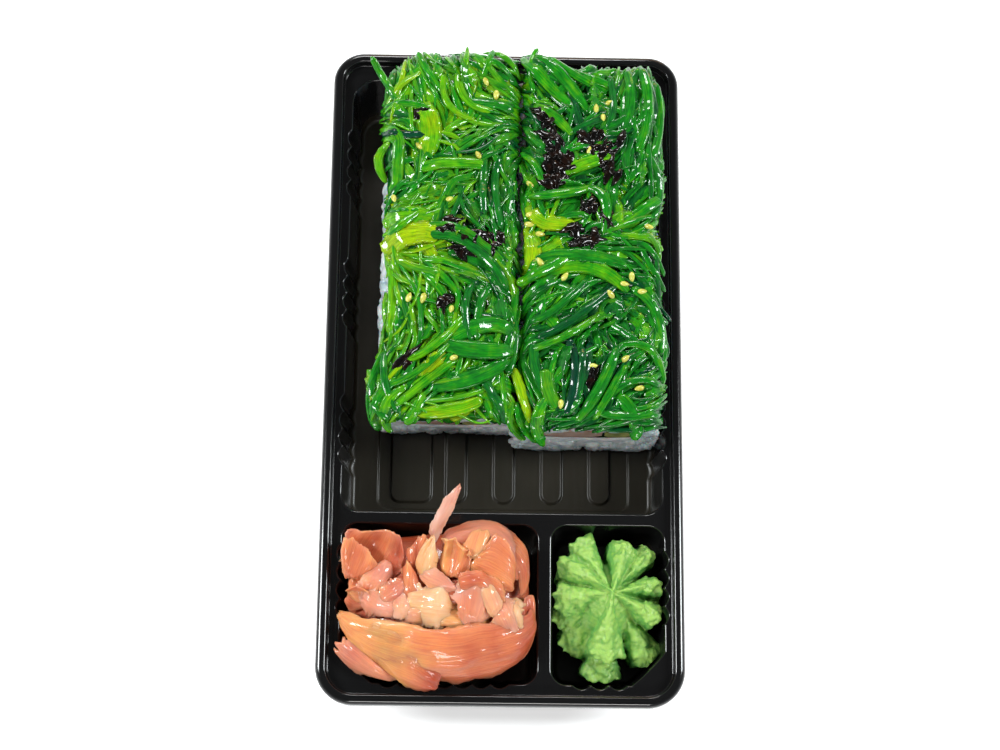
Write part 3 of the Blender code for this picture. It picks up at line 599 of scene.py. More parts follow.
@dataclass(frozen=True)
class Avocado:
    """Ripe avocado, olive with a yellower middle."""

    olive: Triple = (0.16, 0.20, 0.055)
    yellow: Triple = (0.42, 0.44, 0.13)

    def material(self) -> Material:
        """The finish as a material."""
        graph = Graph("avocado")
        place = graph.place()
        patches = graph.span(graph.cloud(place, 260.0, 3.0), 0.35, 0.65)
        normal = graph.bump(graph.cloud(place, 900.0, 3.0), 0.2, 0.6)
        return graph.finish(
            Base_Color=graph.mix(patches, self.olive, self.yellow), Roughness=0.36, Normal=normal,
            Subsurface_Weight=0.2, Subsurface_Scale=0.0015,
        )


@dataclass(frozen=True)
class WetSeaweed:
    """Wet, see-through seaweed strips, from deep to fresh green and yellow, with fine ridges along them."""

    deep: Triple = (0.0018, 0.082, 0.012)
    fresh: Triple = (0.012, 0.285, 0.007)
    lime: Triple = (0.13, 0.46, 0.004)
    yellow: Triple = (0.36, 0.56, 0.003)
    teal: Triple = (0.001, 0.042, 0.024)

    def material(self) -> Material:
        """The finish as a material."""
        graph = Graph("wet seaweed")
        lay = graph.vector("lay")
        place = graph.place()
        ridges = graph.cloud(graph.stretched(lay, (2.4, 0.10, 1.0)), 1.0, 3.0)
        veins = graph.cloud(graph.stretched(lay, (5.5, 0.22, 1.0)), 1.0, 2.0)
        patches = graph.cloud(place, 330.0, 3.0)
        ripe = graph.maths("ADD", graph.value("ripe"), graph.span(patches, 0.25, 0.75, -0.16, 0.16))
        ripe = graph.maths("ADD", ripe, graph.span(ridges, 0.3, 0.7, -0.13, 0.13))
        stops = ((0.0, self.deep), (0.36, self.fresh), (0.66, self.lime), (0.95, self.yellow))
        colour = graph.mix(graph.value("cool"), graph.ramp(ripe, stops), self.teal)
        dark = graph.span(veins, 0.3, 0.62, 0.42, 1.0)
        shade = graph.mix(1.0, colour, graph.ramp(dark, ((0.0, (0, 0, 0)), (1.0, (1, 1, 1)))), "MULTIPLY")
        fine = graph.bump(veins, 0.05, 0.9)
        normal = graph.bump(ridges, 0.18, 0.85, fine)
        film = graph.bump(graph.cloud(place, 900.0, 2.0), 0.06)
        return graph.finish(
            Base_Color=shade, Roughness=0.36, Normal=normal, Subsurface_Weight=0.15, Subsurface_Scale=0.0012,
            Subsurface_Radius=(0.35, 1.0, 0.2), Coat_Weight=0.8, Coat_Roughness=0.035, Coat_Normal=film,
            Specular_IOR_Level=0.06,
        )


@dataclass(frozen=True)
class DarkFungus:
    """Wet, wrinkled brown-black pieces with bright glints."""

    black: Triple = (0.0016, 0.0012, 0.0008)
    brown: Triple = (0.014, 0.0045, 0.002)

    def material(self) -> Material:
        """The finish as a material."""
        graph = Graph("dark fungus")
        place = graph.place()
        patches = graph.span(graph.cloud(place, 500.0, 3.0), 0.45, 0.75)
        normal = graph.bump(graph.cloud(place, 900.0, 3.0), 0.3, 1.0)
        return graph.finish(
            Base_Color=graph.mix(patches, self.black, self.brown), Roughness=0.3, Normal=normal,
            Coat_Weight=0.8, Coat_Roughness=0.04, Specular_IOR_Level=0.05,
        )


@dataclass(frozen=True)
class SesameSeed:
    """Pale yellow seeds under a wet film."""

    pale: Triple = (0.66, 0.68, 0.13)
    tan: Triple = (0.46, 0.44, 0.045)

    def material(self) -> Material:
        """The finish as a material."""
        graph = Graph("sesame seed")
        place = graph.place()
        patches = graph.span(graph.cloud(place, 700.0, 2.0), 0.35, 0.65)
        return graph.finish(
            Base_Color=graph.mix(patches, self.tan, self.pale), Roughness=0.3, Coat_Weight=0.5,
            Coat_Roughness=0.12, Normal=graph.bump(graph.cloud(place, 2500.0, 2.0), 0.05, 0.5),
        )


@dataclass(frozen=True)
class PickledGinger:
    """Wet translucent slices from cream to peach and pink, with fine fibres along them."""

    cream: Triple = (0.86, 0.49, 0.25)
    gold: Triple = (0.82, 0.33, 0.10)
    peach: Triple = (0.68, 0.20, 0.08)
    pink: Triple = (0.52, 0.11, 0.05)
    amber: Triple = (0.40, 0.045, 0.01)
    pale: Triple = (0.84, 0.46, 0.36)

    def material(self) -> Material:
        """The finish as a material."""
        graph = Graph("pickled ginger")
        lay = graph.vector("lay")
        place = graph.place()
        fibres = graph.cloud(graph.stretched(lay, (0.10, 3.0, 1.0)), 1.0, 4.0)
        hairs = graph.cloud(graph.stretched(lay, (0.3, 6.0, 1.0)), 1.0, 2.0)
        patches = graph.cloud(place, 150.0, 3.0)
        tone = graph.maths("ADD", graph.value("tone"), graph.span(patches, 0.3, 0.7, -0.09, 0.09))
        tone = graph.maths("ADD", tone, graph.span(fibres, 0.3, 0.7, -0.1, 0.1))
        stops = (
            (0.0, self.amber), (0.26, self.pink), (0.5, self.peach), (0.72, self.gold), (1.0, self.cream),
        )
        colour = graph.mix(graph.value("pale"), graph.ramp(tone, stops), self.pale)
        fine = graph.bump(hairs, 0.06, 0.6)
        normal = graph.bump(fibres, 0.24, 0.8, fine)
        film = graph.bump(graph.cloud(place, 450.0, 3.0), 0.12)
        return graph.finish(
            Base_Color=colour, Roughness=0.42, Normal=normal, Subsurface_Weight=0.35,
            Subsurface_Scale=0.0025, Subsurface_Radius=(1.0, 0.4, 0.2), Coat_Weight=0.55, Coat_Roughness=0.07,
            Coat_Normal=film, Specular_IOR_Level=0.25,
        )


@dataclass(frozen=True)
class Wasabi:
    """Piped paste, grainy, with painted light and shade: yellow-green where it faces up, and a cooler green,
    a painted shade, down its sides and in its hollows.
    """

    crest: Triple = (0.33, 0.56, 0.10)
    side: Triple = (0.085, 0.38, 0.085)

    def material(self) -> Material:
        """The finish as a material."""
        graph = Graph("wasabi paste")
        place = graph.place()
        patches = graph.span(graph.cloud(place, 700.0, 3.0), 0.3, 0.7, -0.22, 0.22)
        # Painted light and shade: the lit share from the points' values mixes the yellow-green top into the
        # cooler shaded green.
        share = graph.maths("ADD", graph.value("crest"), patches)
        colour = graph.ramp(share, ((0.0, self.side), (1.0, self.crest)))
        normal = graph.bump(graph.cloud(place, 2100.0, 3.0), 0.22, 0.9)
        return graph.finish(
            Base_Color=colour, Roughness=0.5, Normal=normal, Subsurface_Weight=0.25, Subsurface_Scale=0.0016,
            Subsurface_Radius=(0.6, 1.0, 0.25), Coat_Weight=0.2, Coat_Roughness=0.3,
        )


@dataclass(frozen=True)
class PaleFloor:
    """A plain pale matt floor."""

    pale: Triple = (0.93, 0.93, 0.93)

    def material(self) -> Material:
        """The finish as a material."""
        graph = Graph("pale floor")
        patches = graph.span(graph.cloud(graph.place(), 3.0, 2.0), 0.3, 0.7)
        colour = graph.mix(patches, tuple(0.99 * value for value in self.pale), self.pale)
        white = (1.0, 1.0, 1.0, 1.0)
        return graph.finish(Base_Color=colour, Roughness=0.9, Emission_Color=white, Emission_Strength=0.42)


# Tray


@dataclass(frozen=True)
class Corner:
    """A corner in plan: its size, and how flat it is cut, from 0 for an arc to 1 for a straight cut."""

    size: float
    cut: float = 0.0


@dataclass(frozen=True)
class Plan:
    """A compartment or pad in plan at its top: its sides, drafts, corners and flutes.

    Sides and corners go round from the near one, with X to the right.
    """

    sides: Four
    drafts: Four = (0.0, 0.0, 0.0, 0.0)
    corners: tuple[Corner, ...] = (Corner(3.0),) * 4
    flutes: dict[int, list[float]] = field(default_factory=dict)
    spacing: float = 0.45
    turn_points: int = 12
    pitch: float = 5.15
    depth: float = 1.15

    def ring(self, drop: float = 0.0, grow: float = 0.0, groove: float = 1.0) -> Array:
        """Points round the plan: straight sides moved by draft and growth, arcs between them, and flutes.

        Args:
            drop: Share of the way down the wall, which draws the sides in by their drafts.
            grow: How far the plan is widened.
            groove: Share of the flutes' full depth.

        Returns:
            Points in plan, anticlockwise. A flute bulges outwards by a parabola of its pitch.
        """
        near, right, far, left = self.sides
        inward = [draft * drop - grow for draft in self.drafts]
        low = (left + inward[3], near + inward[0])
        high = (right - inward[1], far - inward[2])
        starts = ((low[0], low[1]), (high[0], low[1]), (high[0], high[1]), (low[0], high[1]))
        sizes = [max(0.05, corner.size * (1 - 0.2 * drop) + grow) for corner in self.corners]
        parts = []
        for side, (dx, dy) in enumerate(((1, 0), (0, 1), (-1, 0), (0, -1))):
            along = np.array((dx, dy), float)
            out = np.array((dy, -dx), float)
            start = np.array(starts[side]) + along * sizes[side]
            end = np.array(starts[(side + 1) % 4]) - along * sizes[(side + 1) % 4]
            length = abs(self.sides[(side + 1) % 4] - self.sides[(side + 3) % 4])
            share = np.linspace(0, 1, max(2, int(length / self.spacing)))[:, None]
            line = start + (end - start) * share
            position = line @ np.abs(along)
            reach = np.zeros(len(line))
            for place in self.flutes.get(side, ()):
                phase = (position - place) / (0.48 * self.pitch)
                reach = np.maximum(reach, self.depth * groove * np.clip(1 - phase**2, 0, None))
            parts.append(line + out * reach[:, None])
            turn = (side + 1) % 4
            centre = end - out * sizes[turn]
            angle = np.linspace(0, math.pi / 2, self.turn_points)[1:-1, None]
            arc = out * np.cos(angle) + along * np.sin(angle)
            share = 2 * angle / math.pi
            chord = out * (1 - share) + along * share
            blend = self.corners[turn].cut
            parts.append(centre + sizes[turn] * (arc * (1 - blend) + chord * blend))
        return np.concatenate(parts)


def flute_group(first: float, count: int) -> list[float]:
    """Places of a group of flutes, one pitch apart."""
    return [first + Plan.pitch * i for i in range(count)]


@dataclass
class Tray:
    """The black formed tray: a rim bead, a deck, three compartments and the main one's ribbed floor."""

    finish: TrayPlastic = TrayPlastic()
    half_width: float = 51.0
    half_length: float = 95.8
    rim_top: float = 24.0
    deck: float = 21.0
    skirt_drop: float = 5.2
    bead_outer: float = 1.6
    bead_inner: float = 0.6
    bead_foot: float = 0.3
    sheet: float = 0.8
    floor: float = 0.8
    side_step: float = 0.6
    edge_round: float = 0.6
    foot_round: float = 1.0
    rib_height: float = 0.8
    rib_width: float = 6.0
    rib_centres: tuple[float, ...] = (-13.3, 0.7, 14.7, 28.7)
    rib_span: Pair = (-35.5, 76.0)
    panel: Four = (-35.4, -20.4, 76.0, -32.2)
    recess: Four = (-37.5, 37.2, 81.2, -36.0)
    near_corner: float = 10.5
    far_corner: float = 9.0
    points: list[Array] = field(default_factory=list)
    quads: list[Array] = field(default_factory=list)
    triangles: list[Array] = field(default_factory=list)

    def compartments(self) -> list[Plan]:
        """The main compartment, the ginger's cup and the wasabi's cup."""
        long_wall = flute_group(-25.7, 4) + flute_group(14.7, 4) + flute_group(54.4, 4)
        chamfer = Corner(9.5, 0.85)
        turn = Corner(4.5)
        return [
            Plan(
                (-41.9, 45.5, 88.3, -45.5), (2.0, 1.7, 4.7, 1.7),
                (Corner(5.0), Corner(5.0), Corner(7.5), Corner(7.5)), {1: long_wall, 3: long_wall},
            ),
            Plan(
                (-89.8, 10.4, -44.8, -44.9), (2.0, 1.7, 2.0, 1.7), (chamfer, turn, turn, turn),
                {0: flute_group(-31.0, 7), 3: flute_group(-69.0, 4)},
            ),
            Plan(
                (-89.8, 45.9, -44.8, 13.8), (2.0, 1.7, 2.0, 1.7), (turn, chamfer, turn, turn),
                {0: flute_group(22.5, 3), 1: flute_group(-70.0, 4)},
            ),
        ]

    def lay(self, plan: Array, height: float) -> Array:
        """Puts down a ring of points at a height and gives their numbers.

        Args:
            plan: The ring in plan.
            height: Its height.

        Returns:
            The points' numbers.
        """
        start = sum(len(part) for part in self.points)
        self.points.append(at_plan(plan, height))
        return np.arange(start, start + len(plan))

    def wall(self, rings: list[Array]) -> None:
        """Quads between rings that go from outside to inside, facing up and inwards.

        Args:
            rings: Point numbers ring by ring.
        """
        for outer, inner in zip(rings, rings[1:]):
            self.quads.append(np.stack([outer, np.roll(outer, -1), np.roll(inner, -1), inner], 1))

    def fill(self, outer: Array, holes: list[Array]) -> None:
        """Flat triangles inside a ring and outside its holes, by a constrained triangulation.

        Args:
            outer: Point numbers of the ring.
            holes: Point numbers of the rings left open.
        """
        everything = np.concatenate(self.points)
        rings = [outer] + holes
        numbers = np.concatenate(rings)
        plan = everything[numbers, :2]
        edges = []
        start = 0
        for ring in rings:
            count = start + np.arange(len(ring))
            edges += np.stack([count, np.roll(count, -1)], 1).tolist()
            start += len(ring)
        made = delaunay_2d_cdt([Vector(point) for point in plan], edges, [], 1, 1e-7)
        source = np.array([origin[0] for origin in made[3]])
        faces = source[np.array(made[2])]
        centres = plan[faces].mean(1)
        kept = np.ones(len(faces), bool)
        for hole in holes:
            kept &= ~self.inside(centres, everything[hole, :2])
        self.triangles.append(numbers[faces[kept]])

    @staticmethod
    def inside(places: Array, ring: Array) -> Array:
        """Whether places lie in a ring: a ray to the right crosses it an odd number of times.

        Args:
            places: Places in plan.
            ring: The ring in plan.

        Returns:
            Yes or no for each place.
        """
        after = np.roll(ring, -1, axis=0)
        x, y = places[:, :1], places[:, 1:]
        crosses = (ring[:, 1] > y) != (after[:, 1] > y)
        rise = np.where(after[:, 1] == ring[:, 1], 1e-9, after[:, 1] - ring[:, 1])
        at = ring[:, 0] + (y - ring[:, 1]) * (after[:, 0] - ring[:, 0]) / rise
        return (crosses & (x < at)).sum(1) % 2 == 1

    def make_rim(self) -> Array:
        """The skirt and bead, from the skirt's foot in to the deck. Gives the ring where the deck starts."""
        near = Corner(self.near_corner)
        far = Corner(self.far_corner)
        plan = Plan(
            (-self.half_length, self.half_width, self.half_length, -self.half_width),
            corners=(near, near, far, far), spacing=4.0, turn_points=26,
        )
        turn = np.linspace(0, math.pi / 2, 7)
        top, wide, tight, low = self.rim_top, self.bead_outer, self.bead_inner, self.bead_foot
        outer = [(wide - wide * math.cos(a), top - wide + wide * math.sin(a)) for a in turn]
        inner = [(2.3 + tight * math.sin(a), top - tight + tight * math.cos(a)) for a in turn]
        foot = [(3.45 - low * math.cos(a), self.deck + low - low * math.sin(a)) for a in turn]
        profile = [(0.0, top - self.skirt_drop), (0.0, top - 3.0), *outer, (2.0, top)]
        profile += [*inner, *foot, (3.5, self.deck)]
        rings = [self.lay(plan.ring(grow=-inset), height) for inset, height in profile]
        self.wall(rings)
        return rings[-1]

    def make_wall(self, plan: Plan, floor: float) -> tuple[Array, Array]:
        """A compartment's wall with a rounded top edge and foot. Gives its first and last ring.

        Args:
            plan: The compartment.
            floor: Height of its floor.

        Returns:
            Both rings' point numbers.
        """
        turn = np.linspace(0, 1, 6)
        half = self.edge_round / 2
        rings = [self.lay(plan.ring(grow=half + 0.08), self.deck)]
        for share in turn:
            angle = share * math.pi / 2
            grow = half - self.edge_round * math.sin(angle)
            drop = self.edge_round * (1 - math.cos(angle))
            rings.append(self.lay(plan.ring(grow=grow), self.deck - drop))
        depth = self.deck - floor
        for share in (0.25, 0.5, 0.75):
            height = self.deck - self.edge_round - share * (depth - self.edge_round - self.foot_round)
            drop = (self.deck - height) / depth
            rings.append(self.lay(plan.ring(drop, -half, 1 - 0.15 * share), height))
        for share in turn:
            angle = share * math.pi / 2
            height = floor + self.foot_round * (1 - math.sin(angle))
            inset = half + self.foot_round * (1 - math.cos(angle))
            ring = plan.ring((self.deck - height) / depth, -inset, 0.8 * (1 - 0.6 * share))
            rings.append(self.lay(ring, height))
        rings.append(self.lay(plan.ring(1.0, -half - self.foot_round - 0.15, 0.3), floor))
        self.wall(rings)
        return rings[0], rings[-1]

    def make_step(self, plan: Plan, low: float, high: float, rounding: float) -> tuple[Array, Array]:
        """A low step up inwards, or down where high is under low. Gives its first and last ring.

        The height follows half a cosine wave over the step's width, so that both of its edges are rounded.

        Args:
            plan: The step's middle line.
            low: Height outside it.
            high: Height inside it.
            rounding: Half its width.

        Returns:
            Both rings' point numbers.
        """
        rings = [self.lay(plan.ring(grow=rounding + 0.2), low)]
        for share in np.linspace(0, 1, 9):
            height = low + (high - low) * (1 - math.cos(math.pi * share)) / 2
            rings.append(self.lay(plan.ring(grow=rounding * (1 - 2 * share)), height))
        rings.append(self.lay(plan.ring(grow=-rounding - 0.2), high))
        self.wall(rings)
        return rings[0], rings[-1]

    def make_floor(self, foot: Array) -> None:
        """The main floor: side strips, a lower middle, four ribs and a plain raised panel.

        Args:
            foot: Point numbers of the wall's last ring.
        """
        outer, inner = self.make_step(Plan(self.recess), self.floor + self.side_step, self.floor, 0.32)
        self.fill(foot, [outer])
        feet = []
        near, far = self.rib_span
        half = self.rib_width / 2
        plans = [
            Plan((near, x + half, far, x - half), corners=(Corner(half - 0.02),) * 4, turn_points=16)
            for x in self.rib_centres
        ]
        plans.append(Plan(self.panel, corners=(Corner(2.6),) * 4))
        for plan in plans:
            pad_foot, pad_top = self.make_step(plan, self.floor, self.floor + self.rib_height, 0.42)
            self.fill(pad_top, [])
            feet.append(pad_foot)
        self.fill(inner, feet)

    def build(self) -> bpy.types.Object:
        """Builds the tray as one formed surface with the sheet's thickness under it."""
        edge = self.make_rim()
        main, *cups = self.compartments()
        main_top, main_foot = self.make_wall(main, self.floor + self.side_step)
        tops = [main_top]
        for cup in cups:
            top, foot = self.make_wall(cup, self.floor)
            self.fill(foot, [])
            tops.append(top)
        self.fill(edge, tops)
        self.make_floor(main_foot)
        shape = Shape(np.concatenate(self.points), np.concatenate(self.quads), np.concatenate(self.triangles))
        piece = make_piece("formed_tray", shape, self.finish.material())
        wall = piece.modifiers.new("Sheet", "SOLIDIFY")
        wall.thickness = self.sheet * MM
        wall.offset = -1.0
        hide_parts("tray")
        return piece


# Roll slices


@dataclass(frozen=True)
class Row:
    """A row of roll slices: rice with grains that show, round its fillings."""

    side: Side
    left: float
    near: float
    near_lean: float
    drawn_in: tuple[Pair, ...]
    far: float = 86.8
    width: float = 40.2
    slices: int = 4
    cut_gap: float = 0.5
    bottom: float = 1.9
    top: float = 26.8
    hole_left: float = 5.3
    hole_width: float = 30.6
    hole_low: float = 14.2
    hole_high: float = 24.4
    power: float = 4.2
    hole_power: float = 3.2
    far_lean: float = 3.9
    around: int = 88
    grains: int = 1000
    grain: Triple = (2.5, 1.25, 1.05)
    deck: float = 21.0
    wall_right: float = 43.4
    wall_far: float = 83.0
    wall_corner: float = 7.5

    def held_in(self, points: Array) -> Array:
        """Presses what would pass the tray's leaning walls, its rounded far right corner or its ribs back.

        Args:
            points: Points of the rice.

        Returns:
            The points, pressed back.
        """
        x, y, height = np.moveaxis(points, -1, 0)
        lift = np.clip(height, 0.0, WALL_HEIGHT)
        right, far = self.wall_right + WALL_LEAN * lift, self.wall_far + FAR_WALL_LEAN * lift
        x, y = np.minimum(x, right), np.minimum(y, far)
        past_x = np.maximum(x - right + self.wall_corner, 0.0)
        past_y = np.maximum(y - far + self.wall_corner, 0.0)
        draw_in = np.minimum(self.wall_corner / np.maximum(np.hypot(past_x, past_y), 1e-6), 1.0)
        x, y = x - past_x * (1 - draw_in), y - past_y * (1 - draw_in)
        return np.stack([x, y, np.maximum(height, self.bottom - 0.1)], -1)

    def section(self, angle: Array, hole: bool = False) -> Array:
        """A rounded rectangle in X and Z at angles round it, the slice's or its hole's: a superellipse.

        Args:
            angle: Angles round it.
            hole: Whether it is the hole's.

        Returns:
            Places in X and Z.
        """
        power = self.hole_power if hole else self.power
        if hole:
            centre = (self.left + self.hole_left + self.hole_width / 2, (self.hole_low + self.hole_high) / 2)
            half = (self.hole_width / 2, (self.hole_high - self.hole_low) / 2)
        else:
            centre = (self.left + self.width / 2, (self.bottom + self.top) / 2)
            half = (self.width / 2, (self.top - self.bottom) / 2)
        wave = np.stack([np.cos(angle), np.sin(angle)], -1)
        return np.array(centre) + np.array(half) * np.sign(wave) * np.abs(wave) ** (2 / power)

    def leaned(self, points: Array, ends: tuple[bool, bool], y0: float, y1: float) -> Array:
        """Points of a slice with its outer cut faces leaned out with height, as the tray's far wall is.

        Args:
            points: Points of the slice.
            ends: Whether its near and far cuts end the row.
            y0: Its near cut.
            y1: Its far cut.

        Returns:
            The moved points.
        """
        up = np.clip((points[..., 2] - self.bottom) / (self.deck - self.bottom), 0, 1)
        along = np.clip((points[..., 1] - y0) / (y1 - y0), 0, 1)
        shift = -self.near_lean * up * (1 - along) * ends[0] + (self.far_lean * (up - 1)) * along * ends[1]
        moved = points.copy()
        moved[..., 1] += shift
        outer = np.sign(-self.left) * (points[..., 0] - self.left - self.width / 2)
        places, depths = zip(*self.drawn_in)
        inward = np.interp(moved[..., 1], places, depths)
        moved[..., 0] -= np.sign(self.left) * inward * np.clip(outer / -18.0, 0, 1)
        return moved

    def spans(self) -> list[tuple[float, float, tuple[bool, bool]]]:
        """Near and far cut of each slice, and which of them end the row."""
        length = (self.far - self.near) / self.slices
        cuts = []
        for i in range(self.slices):
            start = self.near + length * i
            ends = (i == 0, i == self.slices - 1)
            cuts.append((start + self.cut_gap / 2, start + length - self.cut_gap / 2, ends))
        return cuts

    def slice_body(self, y0: float, y1: float, ends: tuple[bool, bool]) -> Shape:
        """A slice's rice, closed both ways: along its outside, over the far cut, back through its hole.

        Args:
            y0: Its near cut.
            y1: Its far cut.
            ends: Which of them end the row.

        Returns:
            The slice's rice.
        """
        angle = 2 * math.pi * (np.arange(self.around) + 0.5) / self.around
        outside = self.section(angle)
        hole = self.section(angle, hole=True)
        rounding = ((0.0, 1.2), (0.02, 0.5), (0.07, 0.12), (0.14, 0.0))
        path = [(share, y0 + back) for share, back in reversed(rounding)]
        path += [(0.0, y) for y in np.linspace(y0 + 2.4, y1 - 2.4, 10)]
        path += [(share, y1 - back) for share, back in rounding]
        path += [(share, y1) for share in (0.4, 0.7, 1.0)]
        path += [(1.0, y1 - 3.0), (1.0, y0 + 3.0)]
        path += [(share, y0) for share in (1.0, 0.7, 0.4)]
        share, along = (np.array(column)[:, None, None] for column in zip(*path))
        along = np.broadcast_to(along, (len(path), self.around, 1))
        plan = outside * (1 - share) + hole * share
        points = np.concatenate([plan[..., :1], along, plan[..., 1:]], -1)
        points = self.leaned(points, ends, y0, y1)
        shape = Shape(points.reshape(-1, 3), grid_quads(len(path), self.around, True, True)).facing_out()
        free = np.broadcast_to(1 - np.clip(share * 1.6, 0, 1), (len(path), self.around, 1)).reshape(-1, 1)
        swell = 0.34 * layered_noise(shape.points, 3.4, 5, 3) + 0.3 * noise(shape.points, 9.0, 9) - 0.15
        shape.points = shape.points + shape.normals() * swell[:, None] * free
        return shape

    def grain_bodies(self, draw: np.random.Generator) -> Shape:
        """Grains half sunk in the row's sides and outer cuts: blunt spindles turned at random in the face.

        Args:
            draw: The random draws.

        Returns:
            All grains as one shape.
        """
        count = self.grains
        kind = draw.random(count)
        angle = draw.uniform(0, 2 * math.pi, count)
        angle = np.where(kind < 0.42, math.pi + draw.normal(0, 0.42, count), angle)
        angle = np.where((kind > 0.42) & (kind < 0.6), draw.normal(0, 0.42, count), angle)
        y = draw.uniform(self.near + 1.0, self.far - 1.0, count)
        cut = kind > 0.66
        y = np.where(cut, np.where(draw.random(count) < 0.6, self.near + 0.2, self.far - 0.2), y)
        share = np.where(cut, draw.uniform(0.0, 0.7, count), 0.0)
        foot = cut & (draw.random(count) < 0.4)
        angle = np.where(foot, draw.normal(1.5 * math.pi, 0.55, count), angle)
        share = np.where(foot, draw.uniform(-0.04, 0.1, count), share)
        outside = self.section(angle)
        plan = outside * (1 - share[:, None]) + self.section(angle, hole=True) * share[:, None]
        step = self.section(angle + 0.02) - self.section(angle - 0.02)
        normal = unit(np.stack([step[:, 1], np.zeros(count), -step[:, 0]], 1))
        middle = (self.near + self.far) / 2
        facing = np.where((y < middle)[:, None], np.array([[0.0, -1.0, 0.0]]), np.array([[0.0, 1.0, 0.0]]))
        normal = np.where(cut[:, None], facing, normal)
        place = np.stack([plan[:, 0], y, plan[:, 1]], 1)
        place = self.leaned(place, (True, True), self.near, self.far)
        place = place - normal * draw.uniform(0.1, 0.75, (count, 1))
        spin = unit(np.cross(normal, draw.normal(0, 1, (count, 3))))
        third = np.cross(normal, spin)
        size = draw.uniform(0.85, 1.12, (count, 1, 1, 1))
        turn = np.linspace(0, 2 * math.pi, 8, endpoint=False)
        along = np.linspace(-0.94, 0.94, 6)
        width = (1 - along**4) ** 0.5
        ring_a = self.grain[1] * width[:, None] * np.cos(turn)
        ring_b = self.grain[2] * width[:, None] * np.sin(turn)
        ring_c = np.broadcast_to((self.grain[0] * along)[:, None], ring_a.shape)
        frame = ring_c[..., None] * spin[:, None, None] + ring_a[..., None] * third[:, None, None]
        frame = frame + ring_b[..., None] * normal[:, None, None]
        return tubes(place[:, None, None] + frame * size)

    def build(self, rice: Material) -> bpy.types.Object:
        """Builds the row's rice.

        Args:
            rice: The rice's finish.

        Returns:
            The row's rice.
        """
        draw = np.random.default_rng(GRAIN_DRAWS[self.side])
        shapes = [self.slice_body(*span) for span in self.spans()]
        shapes.append(self.grain_bodies(draw))
        body = joined(shapes)
        body.points = self.held_in(body.points)
        piece = make_piece(f"rice_{self.side.value}", body, rice)
        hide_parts(*[f"rice_{self.side.value}_{i + 1}" for i in range(self.slices)])
        return piece


LEFT_DRAWN_IN = (
    (-15, 1.8), (8, 1.8), (12, 1.3), (33, 1.3), (36, 2.6), (41, 1.6), (54, 1.6), (58, 3.4), (87, 3.4),
)
RIGHT_DRAWN_IN = ((-19, 0.0), (30, 0.2), (35, -0.8), (42, -0.8), (47, 0.6), (87, 0.8))


def dress_fillings(nodes: dict[str, bpy.types.Object]) -> None:
    """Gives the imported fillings, which keep their own shapes, their finishes.

    Args:
        nodes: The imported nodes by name.
    """
    finishes = {
        "nori": SeaweedSheet().material(),
        "fish": CookedFish().material(),
        "avocado": Avocado().material(),
    }
    for name, node in nodes.items():
        kind = name.split("_")[0]
        if kind in finishes:
            node.data.materials.clear()
            node.data.materials.append(finishes[kind])
    LOG.info("fillings dressed")


# Seaweed salad


@dataclass(frozen=True)
class Lie:
    """Which way the strands lie near a place in plan, in degrees anticlockwise from +X."""

    x: float
    y: float
    turn: float


@dataclass(frozen=True)
class Tint:
    """A patch of the salad that is riper or cooler than the rest: its middle, radius and strengths."""

    x: float
    y: float
    radius: float
    ripe: float = 0.0
    cool: float = 0.0

    def near(self, plan: Array) -> Array:
        """How near places are to its middle, from 0 to 1: a bell curve of its radius."""
        return np.exp(-((plan - (self.x, self.y)) ** 2).sum(-1) / self.radius**2)


@dataclass(frozen=True)
class Strip:
    """A strand that stands out: its start, bend and end in plan, its width, lifts, ripeness and coolness."""

    start: Pair
    bend: Pair
    end: Pair
    width: float
    lifts: Triple = (-0.5, 0.7, -0.5)
    ripe: float = 0.4
    cool: float = 0.0
    thick: float = 0.9
    blunt: float = 0.75
    ruffle: float = 0.0


@dataclass(frozen=True)
class Flake:
    """A piece of dark fungus: its middle in plan, half length, half width, turn in degrees and lift."""

    x: float
    y: float
    length: float
    width: float
    turn: float
    lift: float = 0.2


